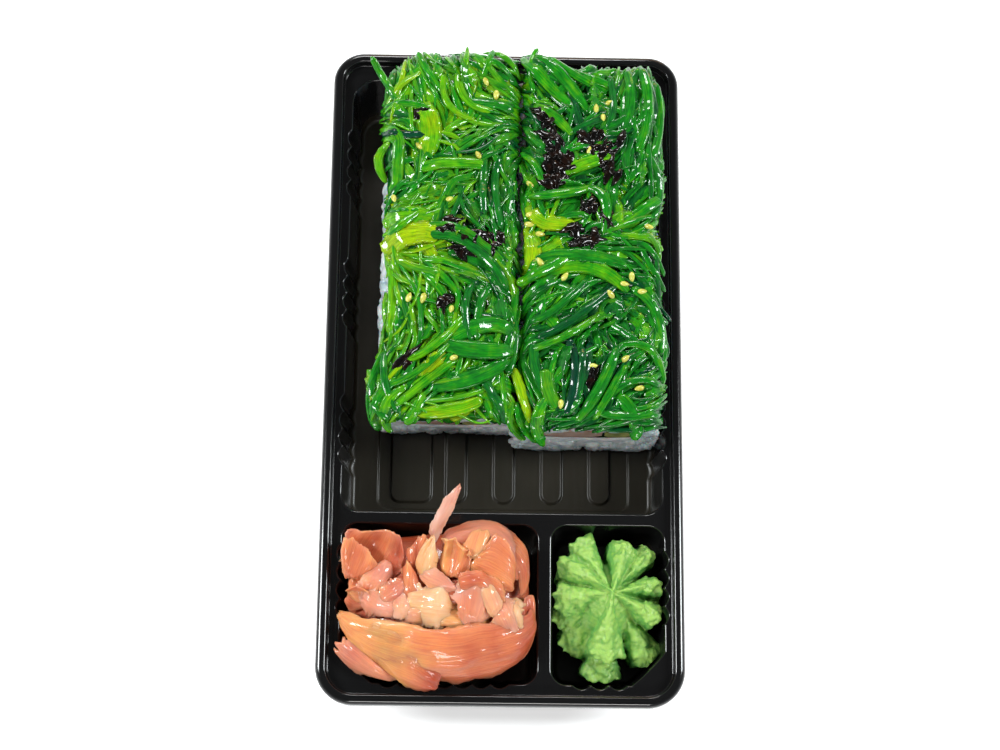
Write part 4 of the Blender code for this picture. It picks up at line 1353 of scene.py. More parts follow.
@dataclass(frozen=True)
class Outline:
    """A bed's four edges in plan as places along them: its sides as (y, x) and its ends as (x, y)."""

    left: tuple[Pair, ...]
    right: tuple[Pair, ...]
    near: tuple[Pair, ...]
    far: tuple[Pair, ...]

    @staticmethod
    def at(edge: tuple[Pair, ...], along: Array) -> Array:
        """Where an edge is at places along it: straight between the given ones."""
        return np.interp(along, [place[0] for place in edge], [place[1] for place in edge])

    def depths(self, plan: Array) -> tuple[Array, Array]:
        """How far places lie in from the nearer side and from the nearer end, less than 0 beyond them.

        Args:
            plan: Places in plan.

        Returns:
            The depths from the side and from the end.
        """
        x, y = plan[..., 0], plan[..., 1]
        from_side = np.minimum(x - self.at(self.left, y), self.at(self.right, y) - x)
        from_end = np.minimum(y - self.at(self.near, x), self.at(self.far, x) - y)
        return from_side, from_end

    def spots(self, u: Array, v: Array, inset: float = 0.0) -> Array:
        """Places at shares from the left to the right side and from the near to the far end.

        Args:
            u: Shares from left to right.
            v: Shares from near to far.
            inset: Distance kept from the edges.

        Returns:
            Places in plan.
        """
        x = self.at(self.left, 30.0) * (1 - u) + self.at(self.right, 30.0) * u
        y = (self.at(self.near, x) + inset) * (1 - v) + (self.at(self.far, x) - inset) * v
        x = (self.at(self.left, y) + inset) * (1 - u) + (self.at(self.right, y) - inset) * u
        return np.stack([x, y], -1)

    def held(self, path: Array, beyond: Array) -> Array:
        """Paths, each moved as a whole so that none of its places is further out than it may be.

        Args:
            path: Paths in plan.
            beyond: How far out each path may be.

        Returns:
            The moved paths.
        """
        x, y = path[..., 0], path[..., 1]
        limit = beyond[:, None]
        right = np.clip(self.at(self.left, y) - limit - x, 0, None).max(1)
        left = np.clip(x - self.at(self.right, y) - limit, 0, None).max(1)
        ahead = np.clip(self.at(self.near, x) - limit - y, 0, None).max(1)
        back = np.clip(y - self.at(self.far, x) - limit, 0, None).max(1)
        return path + np.stack([right - left, ahead - back], 1)[:, None]

    def drawn_in(self, plan: Array, inset: float) -> Array:
        """Places, moved in to at least a distance from the edges.

        Args:
            plan: Places in plan.
            inset: The distance.

        Returns:
            The moved places.
        """
        x, y = plan[..., 0], plan[..., 1]
        inner_x = np.clip(x, self.at(self.left, y) + inset, self.at(self.right, y) - inset)
        inner_y = np.clip(y, self.at(self.near, x) + inset, self.at(self.far, x) - inset)
        return np.stack([inner_x, inner_y], -1)


@dataclass(frozen=True)
class SaladBed:
    """A bed of seaweed salad on a row: its packed base, many strands, some leaves, dark flakes and seeds."""

    side: Side
    outline: Outline
    lies: tuple[Lie, ...]
    tints: tuple[Tint, ...]
    strips: tuple[Strip, ...]
    flakes: tuple[Flake, ...]
    seeds: tuple[Pair, ...]
    ripeness: float
    strands: int = 600
    leaves: int = 84
    low: float = 26.7
    crown: float = 33.2
    stations: int = 19
    around: int = 8
    seed_size: Triple = (1.45, 0.92, 0.65)
    base_grid: tuple[int, int] = (64, 150)
    base_size: Pair = (40.0, 105.0)
    flake_grid: tuple[int, int] = (30, 24)

    def top(self, plan: Array) -> Array:
        """Height of the bed over places: low hillocks that fall away at and beyond the sides and ends.

        Args:
            plan: Places in plan.

        Returns:
            A height for each place.
        """
        hill = 1.5 * noise(at_plan(plan, 3.0), 9.0, 3) + 0.8 * noise(at_plan(plan, 9.0), 3.7, 4)
        from_side, from_end = self.outline.depths(plan)
        side = np.clip(from_side / 5.0, 0, 1)
        end = np.clip(from_end / 6.0, 0, 1)
        shoulder = 1 - (1 - side) ** 2 * 0.62 - (1 - end) ** 2 * 0.36
        over = np.clip(-np.minimum(from_side, from_end) - 0.3, 0, None)
        rise = (self.crown - self.low - 0.9 + hill) * np.maximum(0.25, shoulder)
        return self.low + 0.9 + rise - 1.1 * over**1.4

    def turn_at(self, plan: Array) -> Array:
        """Direction of the strands: the lies' directions, doubled, averaged by nearness and halved.

        Args:
            plan: Places in plan.

        Returns:
            An angle for each place.
        """
        places = np.array([(lie.x, lie.y) for lie in self.lies])
        turns = np.radians([lie.turn for lie in self.lies])
        distance = ((plan[..., None, :] - places) ** 2).sum(-1)
        weight = 1 / (distance + 9.0) ** 2
        return np.arctan2((weight * np.sin(2 * turns)).sum(-1), (weight * np.cos(2 * turns)).sum(-1)) / 2

    def tones(self, plan: Array, draw: np.random.Generator) -> tuple[Array, Array]:
        """Ripeness and coolness of strands by their middles: the tints near them and a random part.

        Args:
            plan: The middles.
            draw: The random draws.

        Returns:
            Ripeness and coolness of each.
        """
        ripe = np.full(len(plan), self.ripeness) + draw.normal(0, 0.12, len(plan))
        cool = np.clip(draw.normal(-0.05, 0.28, len(plan)), 0, 0.85)
        for tint in self.tints:
            near = tint.near(plan)
            ripe += near * tint.ripe * draw.uniform(0.6, 1.1, len(plan))
            cool += near * (tint.cool * draw.uniform(0.4, 1.2, len(plan)) - 0.5 * tint.ripe)
        return np.clip(ripe, 0.0, 0.97), np.clip(cool, 0.0, 0.9)

    def drawn_paths(self, middles: Array, offset: Array, lengths: Array, follow: Array) -> Array:
        """Paths in plan from their middles both ways, each step turning some way towards the strands' lie.

        Args:
            middles: Where the paths have their middles.
            offset: Turn of each from the strands' lie.
            lengths: Length of each.
            follow: How closely each follows the lie, from 0 to 1.

        Returns:
            Places in plan by path and station.
        """
        half = self.stations // 2
        step = (lengths / (self.stations - 1))[:, None]
        halves = []
        for sense in (0.0, math.pi):
            place = middles.copy()
            heading = self.turn_at(place) + offset + sense
            points = []
            for _ in range(half):
                place = place + step * np.stack([np.cos(heading), np.sin(heading)], 1)
                points.append(place)
                turn = self.turn_at(place) + offset - heading
                heading = heading + follow * ((turn + math.pi / 2) % math.pi - math.pi / 2)
            halves.append(points)
        path = np.stack(halves[1][::-1] + [middles] + halves[0], 1)
        spread = 0.7 * np.sin(middles[:, 0] * 7.0 + middles[:, 1] * 11.0)
        return self.outline.held(path, spread)

    def ribbon_bodies(self, path: Array, height: Array, half: Array, thick: Array, tilt: Array,
                      ruffle: Array, ripe: Array, cool: Array, seed: Array) -> Shape:
        """Strips along paths: a flat oval section carried along, tilted about the path, with waved edges.

        Args:
            path: Places in plan by strip and station.
            height: Heights by strip and station.
            half: Half widths by strip and station.
            thick: Half thickness of each strip.
            tilt: Turn of the section about the path by strip and station.
            ruffle: Height of the waves along each strip's edges.
            ripe: Ripeness of each strip.
            cool: Coolness of each strip.
            seed: A number that sets each strip's ridges apart.

        Returns:
            All strips as one shape.
        """
        centre = np.concatenate([path, height[..., None]], -1)
        forward = unit(np.gradient(centre, axis=1))
        side = unit(np.cross(forward, (0.0, 0.0, 1.0)))
        rise = np.cross(side, forward)
        cosine, sine = np.cos(tilt)[..., None], np.sin(tilt)[..., None]
        side, rise = side * cosine + rise * sine, rise * cosine - side * sine
        turn = np.linspace(0, 2 * math.pi, self.around, endpoint=False)
        across = half[..., None] * np.cos(turn)
        steps = np.linalg.norm(np.diff(centre, axis=1), axis=-1)
        travel = np.concatenate([np.zeros((len(path), 1)), steps.cumsum(1)], 1)
        edge = np.abs(np.cos(turn)) ** 3 * np.sign(np.cos(turn))
        wave = np.sin(travel * 1.9 + seed[:, None] * 7.0)[..., None] * edge
        flutter = 0.5 * np.cos(travel * 3.1 + seed[:, None])[..., None] * np.abs(edge)
        wave = ruffle[:, None, None] * (wave + flutter)
        narrow = np.minimum(1.0, half / np.maximum(half.max(1, keepdims=True), 1e-6) + 0.25)
        up = thick[:, None, None] * narrow[..., None] * np.sin(turn) * (1 - 0.25 * np.cos(turn) ** 2) + wave
        rings = centre[:, :, None] + across[..., None] * side[:, :, None] + up[..., None] * rise[:, :, None]
        spread = np.ones(rings.shape[:3])
        lay = np.stack([across * spread, travel[..., None] * spread, seed[:, None, None] * 9.0 * spread], -1)
        values = {"lay": lay, "ripe": ripe[:, None, None] * spread, "cool": cool[:, None, None] * spread}
        return tubes(rings, values)

    def ends_taper(self, blunt: Array) -> Array:
        """Share of a strip's width along it: full in the middle, and blunt or drawn out at its ends.

        Args:
            blunt: How blunt each strip is, from 0 to 1.

        Returns:
            Shares by strip and station.
        """
        share = np.linspace(0, 1, self.stations)
        rounded = np.sin(math.pi * np.clip(share, 0.02, 0.98)) ** 0.45
        square = np.clip(np.minimum(share, 1 - share) * 14 + 0.35, 0, 1)
        return rounded[None] * (1 - blunt[:, None]) + square[None] * blunt[:, None]

    def random_strands(self, draw: np.random.Generator) -> Shape:
        """The many strands, laid in four layers with the widest low down.

        Args:
            draw: The random draws.

        Returns:
            All strands as one shape.
        """
        count = self.strands
        columns = max(1, int(math.sqrt(count * 0.37)))
        rows = int(math.ceil(count / columns))
        spot = np.arange(count)
        plan = np.stack([spot % columns, spot // columns], 1) + draw.uniform(0, 1, (count, 2))
        plan = plan / (columns, rows)
        middles = self.outline.spots(plan[:, 0], plan[:, 1])
        order = draw.permutation(count)
        level = (order % 4) / 3.0
        lengths = np.clip(draw.lognormal(2.86, 0.34, count), 8, 36)
        offset = draw.normal(0, 0.26, count)
        offset = offset + np.where(draw.random(count) < 0.14, draw.uniform(-1.4, 1.4, count), 0)
        path = self.drawn_paths(middles, offset, lengths, draw.uniform(0.1, 0.6, count))
        sway = draw.normal(0, 1.3, count)[:, None] * np.sin(math.pi * np.linspace(0, 1, self.stations))[None]
        forward = unit(np.gradient(path, axis=1))
        path = path + sway[..., None] * np.stack([-forward[..., 1], forward[..., 0]], -1)
        share = np.linspace(0, 1, self.stations)[None]
        wave = draw.uniform(0.15, 0.6, (count, 1)) * np.sin(
            2 * math.pi * share * draw.uniform(0.6, 1.9, (count, 1)) + draw.uniform(0, 6.3, (count, 1))
        )
        ends = draw.uniform(0.2, 1.5, (count, 1)) * np.abs(2 * share - 1) ** 3
        height = self.top(path) - 1.5 + 2.0 * level[:, None] + 0.7 * wave - ends
        width = np.clip(draw.lognormal(-0.16, 0.38, count), 0.36, 1.9) * (1.2 - 0.3 * level)
        taper = self.ends_taper((draw.random(count) < 0.45) * draw.uniform(0.5, 1.0, count))
        tilt = draw.normal(0, 0.3, (count, 1)) + draw.normal(0, 0.35, (count, 1)) * (share - 0.5)
        ripe, cool = self.tones(path[:, self.stations // 2], draw)
        # Painted shade: the lower layers keep more of their coolness, so those under the others turn a darker
        # teal.
        return self.ribbon_bodies(
            path, height, width[:, None] * taper, np.clip(0.36 * width, 0.22, 0.5), tilt,
            draw.uniform(0.0, 0.22, count) * (width > 0.8), ripe, cool * (1 - 0.4 * level),
            draw.uniform(0, 9, count),
        )

    def random_leaves(self, draw: np.random.Generator) -> Shape:
        """Wider ruffled leaves, riper than the strands round them.

        Args:
            draw: The random draws.

        Returns:
            All leaves as one shape.
        """
        count = self.leaves
        middles = self.outline.spots(draw.random(count), draw.random(count), 3.0)
        offset, lengths = draw.normal(0, 0.5, count), draw.uniform(8, 19, count)
        path = self.drawn_paths(middles, offset, lengths, np.full(count, 0.3))
        share = np.linspace(0, 1, self.stations)[None]
        height = self.top(path) - draw.uniform(-0.3, 1.5, (count, 1)) - 1.2 * np.abs(2 * share - 1) ** 2
        width = draw.uniform(1.6, 4.0, count)
        form = np.sin(math.pi * np.clip(share, 0.03, 0.97)) ** draw.uniform(0.4, 0.9, (count, 1))
        tilt = draw.normal(0, 0.35, (count, 1)) * np.ones_like(share)
        ripe, cool = self.tones(middles, draw)
        return self.ribbon_bodies(
            path, height, width[:, None] * form, np.full(count, 0.2), tilt, draw.uniform(0.3, 0.8, count),
            np.clip(ripe + 0.12, 0, 0.95), cool * 0.5, draw.uniform(0, 9, count),
        )

    def chosen_strips(self, draw: np.random.Generator) -> Shape:
        """The strands that stand out, each on a smooth curve through its bend.

        Args:
            draw: The random draws.

        Returns:
            All of them as one shape.
        """
        shapes = []
        share = np.linspace(0, 1, self.stations)[:, None]
        for strip in self.strips:
            start, bend, end = (np.array(point, float) for point in (strip.start, strip.bend, strip.end))
            control = 2 * bend - (start + end) / 2
            path = (1 - share) ** 2 * start + 2 * share * (1 - share) * control + share**2 * end
            first, middle, last = strip.lifts
            knee = 2 * middle - (first + last) / 2
            lift = (1 - share) ** 2 * first + 2 * share * (1 - share) * knee + share**2 * last
            ground = self.top(self.outline.drawn_in(path, 0.6))
            height = ground + lift[:, 0] + 0.2
            half = strip.width / 2 * self.ends_taper(np.array([strip.blunt]))
            tilt = np.full((1, self.stations), draw.normal(0, 0.12))
            shapes.append(self.ribbon_bodies(
                path[None], height[None], half, np.array([strip.thick / 2]), tilt, np.array([strip.ruffle]),
                np.array([strip.ripe]), np.array([strip.cool]), draw.uniform(0, 9, 1),
            ))
        return joined(shapes)

    def base(self) -> Shape:
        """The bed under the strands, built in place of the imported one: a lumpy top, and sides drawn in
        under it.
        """
        u, v = shares(*self.base_grid)
        plan = self.outline.spots(u, v, 0.8)
        wide, long = self.base_size
        edge = np.clip(np.minimum(np.minimum(u, 1 - u) * wide, np.minimum(v, 1 - v) * long) / 2.5, 0, 1)
        spread = unit(plan - plan.mean((0, 1)))
        ragged = (1 - edge) * 0.9 * noise(at_plan(plan, 2.0), 2.6, 21)
        plan = plan + spread * ragged[..., None]
        lumps = 0.75 * layered_noise(at_plan(plan, 1.0), 2.4, 17, 3)
        height = self.top(plan) - 1.2 + lumps - 1.6 * (1 - edge) ** 2
        upper = np.concatenate([plan, height[..., None]], -1)
        lower = np.concatenate([plan, np.full(height.shape + (1,), self.low)], -1)
        # Painted shade: the bed under the strands gets half the ripeness, so a deeper green, and a fixed
        # coolness towards the dark teal.
        ripe = np.full(height.shape, self.ripeness * 0.5)
        cool = np.full(height.shape, 0.35)
        for tint in self.tints:
            near = tint.near(plan)
            ripe += near * tint.ripe * 0.8
            cool += near * (tint.cool - tint.ripe) * 0.6
        lay = np.stack([plan[..., 0], plan[..., 1] * 4, height * 2], -1)
        values = {"lay": lay, "ripe": np.clip(ripe, 0, 0.9), "cool": np.clip(cool, 0, 0.9)}
        return sheets(upper[None], lower[None], {name: value[None] for name, value in values.items()})

    def flake_bodies(self, draw: np.random.Generator) -> Shape:
        """Dark wrinkled pieces: a round-cornered sheet, crumpled by noise and turned down at its rim.

        Args:
            draw: The random draws.

        Returns:
            All pieces as one shape.
        """
        shapes = []
        u, v = shares(*self.flake_grid, low=-1.0)
        for number, flake in enumerate(self.flakes):
            angle = math.radians(flake.turn)
            ahead = np.array([math.cos(angle), math.sin(angle)])
            beside = np.array([-ahead[1], ahead[0]])
            round_u = u * np.sqrt(1 - v**2 / 2.6)
            round_v = v * np.sqrt(1 - u**2 / 2.6)
            apart = np.full_like(u, number * 20.0)
            local = np.stack([round_u * flake.length, round_v * flake.width, apart], -1)
            ragged = 1 + 0.22 * noise(local, 2.2, 41)
            spread = (local[..., :1] * ahead + local[..., 1:2] * beside) * ragged[..., None]
            plan = np.array([flake.x, flake.y]) + spread
            rim = np.clip(np.maximum(np.abs(u), np.abs(v)) - 0.5, 0, 1)
            crumple = 0.6 * noise(local, 2.4, 42) + 0.4 * noise(local, 0.9, 43)
            height = self.top(plan) + 0.5 + flake.lift + crumple - 2.6 * rim**2
            upper = np.concatenate([plan, height[..., None]], -1)
            lower = upper - (0.0, 0.0, 0.5)
            shapes.append(sheets(upper[None], lower[None]))
            shapes.append(self.shreds(flake, draw))
        return joined(shapes)

    def shreds(self, flake: Flake, draw: np.random.Generator) -> Shape:
        """Short narrow strips of the same dark kind that lie on and round a flake.

        Args:
            flake: The flake.
            draw: The random draws.

        Returns:
            The strips as one shape.
        """
        count = 4
        angle = math.radians(flake.turn)
        spread = draw.normal(0, 0.55, (count, 2)) * (flake.length, flake.width)
        turned = np.array([[math.cos(angle), math.sin(angle)], [-math.sin(angle), math.cos(angle)]])
        middles = np.array([flake.x, flake.y]) + spread @ turned
        offset, lengths = draw.normal(0, 0.7, count), draw.uniform(4, 9, count)
        path = self.drawn_paths(middles, offset, lengths, np.full(count, 0.3))
        share = np.linspace(0, 1, self.stations)[None]
        height = self.top(path) + flake.lift + draw.uniform(0.5, 1.1, (count, 1))
        height = height - 1.2 * np.abs(2 * share - 1) ** 2
        width = draw.uniform(0.5, 1.3, (count, 1)) * np.sin(math.pi * np.clip(share, 0.05, 0.95)) ** 0.5
        zero = np.zeros(count)
        thick, level, ruffled = np.full(count, 0.25), np.zeros(width.shape), np.full(count, 0.2)
        body = self.ribbon_bodies(path, height, width, thick, level, ruffled, zero, zero, zero)
        return Shape(body.points, body.quads, body.triangles)

    def seed_bodies(self, draw: np.random.Generator) -> Shape:
        """Sesame seeds: flat drops, pointed at one end, lying on the strands.

        Args:
            draw: The random draws.

        Returns:
            All seeds as one shape.
        """
        places = np.array(self.seeds)
        count = len(places)
        turn = draw.uniform(0, 2 * math.pi, count)
        pitch = draw.normal(0, 0.25, count)
        along = np.linspace(-0.97, 0.97, 10)
        point = np.where(along > 0.4, 1 - 0.35 * (along - 0.4), 1)
        width = np.sqrt(1 - along**2) * (1 - 0.32 * (along + 1) / 2) * point
        angle = np.linspace(0, 2 * math.pi, 12, endpoint=False)
        x = np.broadcast_to((self.seed_size[0] * along)[:, None], (10, 12))
        y = self.seed_size[1] * width[:, None] * np.cos(angle)
        z = self.seed_size[2] * width[:, None] * np.sin(angle)
        ahead = np.stack([np.cos(turn) * np.cos(pitch), np.sin(turn) * np.cos(pitch), np.sin(pitch)], 1)
        beside = unit(np.cross((0.0, 0.0, 1.0), ahead))
        above = np.cross(ahead, beside)
        local = x[..., None] * ahead[:, None, None] + y[..., None] * beside[:, None, None]
        local = local + z[..., None] * above[:, None, None]
        middle = np.concatenate([places, (self.top(places) + 1.15)[:, None]], 1)
        return tubes(middle[:, None, None] + local * draw.uniform(0.9, 1.1, (count, 1, 1, 1)))

    def build(self, weed: Material, fungus: Material, sesame: Material) -> None:
        """Builds the bed's base, strands, leaves, flakes and seeds.

        Args:
            weed: The seaweed's finish.
            fungus: The flakes' finish.
            sesame: The seeds' finish.
        """
        draw = np.random.default_rng(SALAD_DRAWS[self.side])
        label = self.side.value
        node = f"seaweed_salad_{label}"
        shapes = {
            f"salad_base_{label}": (self.base(), weed),
            f"salad_strands_{label}": (self.random_strands(draw), weed),
            f"salad_leaves_{label}": (joined([self.random_leaves(draw), self.chosen_strips(draw)]), weed),
            f"salad_flakes_{label}": (self.flake_bodies(draw), fungus),
            f"salad_seeds_{label}": (self.seed_bodies(draw), sesame),
        }
        for name, (shape, material) in shapes.items():
            piece = make_piece(name, shape, material)
            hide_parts(node)


LEFT_OUTLINE = Outline(
    left=(
        (-22, -37.4), (-4, -37.2), (0, -36.2), (4, -34.8), (8, -35.4), (12, -33.4), (30, -33.0), (36, -34.2),
        (42, -34.0), (54, -34.6), (60, -35.8), (70, -36.2), (84, -36.0), (90, -33.6),
    ),
    right=((-20, 3.4), (0, 4.1), (90, 4.3)),
    near=((-38, -18.0), (-31, -17.6), (4, -17.5)),
    far=((-38, 86.6), (-34, 88.4), (-28, 91.6), (-24, 93.0), (4, 93.2)),
)

RIGHT_OUTLINE = Outline(
    left=((-20, 5.2), (0, 4.9), (90, 4.9)),
    right=(
        (-20, 45.4), (0, 45.6), (8, 45.4), (14, 44.6), (22, 45.2), (30, 44.8), (40, 44.2), (46, 45.2),
        (60, 46.0), (66, 45.4), (72, 44.4), (80, 45.0), (88, 43.9),
    ),
    near=((4, -20.3), (11, -19.8), (14, -19.3), (46, -19.2)),
    far=((4, 92.8), (10, 92.2), (16, 90.2), (22, 89.2), (36, 89.4), (41, 90.4), (44, 88.4), (46.5, 84.6)),
)

LEFT_LIES = tuple(Lie(*row) for row in (
    (-34, 84, 60), (-24, 84, 110), (-12, 80, 105), (-2, 86, 150), (-1, 74, -12), (-34, 68, 172),
    (-23, 66, 95), (-14, 66, 35), (-4, 68, 40), (-34, 57, 100), (-26, 58, 85), (-15, 57, 3), (-5, 50, 95),
    (-30, 48, 20), (-20, 46, 60), (-8, 42, 122), (-31, 40, 28), (-22, 34, 30), (-12, 34, 10),
    (-3, 36, 112), (-35, 26, 95), (-24, 27, 150), (-14, 28, 158), (-3, 22, 130), (-35, 14, 86),
    (-22, 14, 122), (-10, 13, 75), (1, 12, 95), (-34, 0, 72), (-24, 0, 56), (-12, 0, 44), (-2, 0, 40),
    (-35, -12, 95), (-26, -12, 60), (-14, -12, 32), (-3, -12, 120),
))

RIGHT_LIES = tuple(Lie(*row) for row in (
    (8, 84, -45), (16, 80, -45), (25, 84, 80), (34, 82, 84), (42, 78, 88), (10, 70, -50), (20, 70, 50),
    (30, 72, 20), (40, 66, 95), (36, 60, 80), (12, 60, -50), (24, 60, 25), (18, 52, 5), (28, 44, 100),
    (9, 44, 88), (16, 44, 30), (36, 50, 72), (40, 44, 35), (9, 34, 60), (20, 34, 15), (34, 34, 0),
    (20, 28, 0), (32, 27, -14), (42, 26, -52), (10, 20, 35), (20, 20, 36), (30, 14, 40), (40, 18, -50),
    (8, 6, 36), (18, 8, 30), (30, 6, 118), (41, 8, 108), (8, -6, 105), (16, -6, 80), (24, -6, 72),
    (30, -8, 68), (38, 0, 30), (41, -10, 20), (36, -16, 10), (8, -16, 110), (18, -16, 20),
))

LEFT_TINTS = tuple(Tint(*row) for row in (
    (-30, 40, 8, 0.5), (-21, 34, 6, 0.55), (-34, 22, 6, 0.4), (-21, 69, 6, 0.4), (-30, 82, 6, 0.2),
    (-33, 6, 7, 0.3), (-20, 2, 8, 0.3), (-12, -15, 6, 0.4), (-8, 82, 6, 0.25), (-25, 27, 8, 0.25),
    (-4, 52, 8, 0.0, 0.5), (-10, 42, 9, 0.0, 0.7), (-3, 66, 6, 0.0, 0.5), (-34, 70, 6, 0.0, 0.5),
    (-3, 10, 7, 0.0, 0.3), (-9, 20, 7, 0.0, 0.45), (0, 30, 6, 0.0, 0.5), (-12, 62, 5, 0.0, 0.3),
))

RIGHT_TINTS = tuple(Tint(*row) for row in (
    (12, 43, 6, 0.55), (8, 34, 5, 0.55), (5, -9, 5, 0.6), (17, 30, 6, 0.3), (38, 40, 6, 0.4),
    (20, 61, 5, 0.35), (10, 76, 5, 0.2), (14, 14, 6, 0.25), (24, -6, 7, 0.0, 0.6), (30, 17, 7, 0.0, 0.6),
    (37, 66, 10, 0.0, 0.35), (15, 72, 6, 0.0, 0.6), (10, 62, 6, 0.0, 0.7), (37, -12, 8, 0.0, 0.35),
    (26, 74, 5, 0.0, 0.3), (24, 50, 6, 0.0, 0.4),
))

LEFT_STRIPS = tuple(Strip(*row) for row in (
    ((-29, 71), (-34, 81), (-39.5, 90), 2.2, (-0.9, 0.9, 3.0), 0.4, 0.1),
    ((-33.6, 64), (-36.8, 59.5), (-34.4, 53), 2.8, (-0.6, 0.0, -0.9), 0.6, 0.0, 0.6, 0.3, 0.3),
    ((-25, 56.5), (-16, 57.6), (-6, 57), 3.5, (0.4, 1.0, 0.6), 0.52, 0.0, 0.8, 1.0),
    ((-13, 77), (-5, 76.4), (2.0, 74), 3.0, (0.2, 0.9, 0.9), 0.34, 0.15, 0.9, 1.0),
    ((-35, 40), (-28, 41.4), (-20, 41), 7.0, (-0.8, 0.7, -0.4), 0.62, 0.0, 0.7, 0.2, 0.4),
    ((-34.6, 31.4), (-27, 36.2), (-18.6, 35.4), 7.4, (-0.6, 1.0, -0.1), 0.92, 0.0, 0.7, 0.6, 0.4),
    ((-35, 36.4), (-30.4, 38.2), (-24, 43.8), 2.6, (0.0, 1.5, 0.4), 0.5, 0.0, 0.8, 0.2, 0.2),
    ((-24.5, 76), (-22, 68), (-23, 60), 7.0, (0.1, 1.2, 0.2), 0.74, 0.0, 0.8, 0.3, 0.35),
    ((-36, 67.5), (-30, 66.4), (-22, 66.4), 2.4, (0.0, 0.7, 0.7), 0.1, 0.85, 0.8, 1.0),
    ((-26, 92.6), (-23, 86), (-18, 79), 2.1, (0.4, 0.8, 0.3), 0.4),
    ((-14, 86), (-12, 78), (-4, 74), 2.6, (0.4, 0.8, 0.3), 0.6),
    ((-18, 86), (-17, 76), (-9, 72), 2.2, (0.3, 0.9, 0.2), 0.66),
    ((-20, 1), (-8, 9), (3, 7), 5.0, (-0.2, 1.1, 0.7), 0.34, 0.1, 0.7, 0.35, 0.3),
    ((-20, 5), (-7, 2), (3, 3), 5.4, (-0.3, 1.4, 0.9), 0.3, 0.1, 0.7, 0.3, 0.3),
    ((-22, -8), (-9, -6), (1.4, 0), 5.2, (-0.4, 1.2, 0.9), 0.32, 0.15, 0.7, 0.3, 0.3),
    ((-30, -6), (-35.6, -13.5), (-34.6, -19.6), 3.6, (0.2, 0.2, -5.0), 0.36, 0.0, 0.6, 0.3, 0.4),
    ((-27, -8), (-33, -14.5), (-31.4, -20.2), 3.2, (0.3, 0.3, -5.0), 0.5, 0.0, 0.6, 0.3, 0.45),
    ((-34, 2), (-37.2, -9), (-36.6, -18.4), 2.6, (0.2, 0.2, -3.4), 0.3, 0.1, 0.6, 0.2, 0.3),
    ((-22, -10), (-25, -16.0), (-27.6, -18.4), 3.4, (0.2, 0.2, -1.6), 0.5, 0.0, 0.6, 0.3, 0.35),
    ((-9, 80), (-6, 87), (-4, 93.0), 1.9, (-0.6, 0.4, 1.2), 0.36),
    ((-13, 84), (-12, 89), (-11.6, 94.0), 1.8, (-0.4, 0.4, 0.8), 0.6, 0.0, 0.8, 0.05),
    ((-24, 35), (-10, 33), (1, 20), 3.0, (0.2, 1.2, 0.5), 0.3, 0.3),
    ((-24, 38), (-12, 37), (0, 27), 2.4, (0.1, 1.2, 0.4), 0.4, 0.2),
    ((-32.6, 30), (-31.6, 20), (-32.4, 8), 3.0, (0.0, 0.7, 0.0), 0.66, 0.0, 0.8, 0.4, 0.2),
    ((-9, 22), (-11, 14), (-9, 5), 2.2, (0.6, 1.3, 0.5), 0.3, 0.4),
    ((-4, 21), (-7, 15), (-7.5, 5), 2.4, (0.5, 1.3, 0.4), 0.36, 0.25),
    ((-2, 60), (-3, 50), (-1, 38), 2.4, (0.3, 1.0, 0.2), 0.3, 0.35),
    ((-6, 60), (-6.5, 50), (-6, 42), 2.2, (0.3, 1.0, 0.2), 0.34, 0.45),
    ((-31, -2), (-20, 3), (-12, 12), 2.4, (0.2, 1.1, 0.3), 0.55),
    ((-33, -8), (-24, -4), (-15, 5), 2.2, (0.3, 1.2, 0.3), 0.45, 0.1),
    ((-30, -14), (-23, -8), (-13, 0), 2.4, (0.3, 1.2, 0.3), 0.5),
    ((-36, -4), (-36.5, -12), (-32, -17.5), 2.4, (0.2, 0.6, -0.6), 0.36, 0.2),
    ((-33.5, 2), (-33, -8), (-29, -16), 2.2, (0.5, 1.0, -0.2), 0.32, 0.3),
    ((-24, -16), (-14, -15), (-6, -12), 4.2, (-0.2, 0.6, 0.3), 0.74, 0.0, 0.8, 0.4, 0.3),
    ((-6, -6), (-2, -12), (1, -18), 2.6, (0.5, 0.8, -0.6), 0.3, 0.5, 0.8, 1.0),
    ((2.5, 12), (2.7, 4), (1, -4), 3.0, (0.3, 0.7, 0.4), 0.3, 0.3, 0.8, 0.7),
))

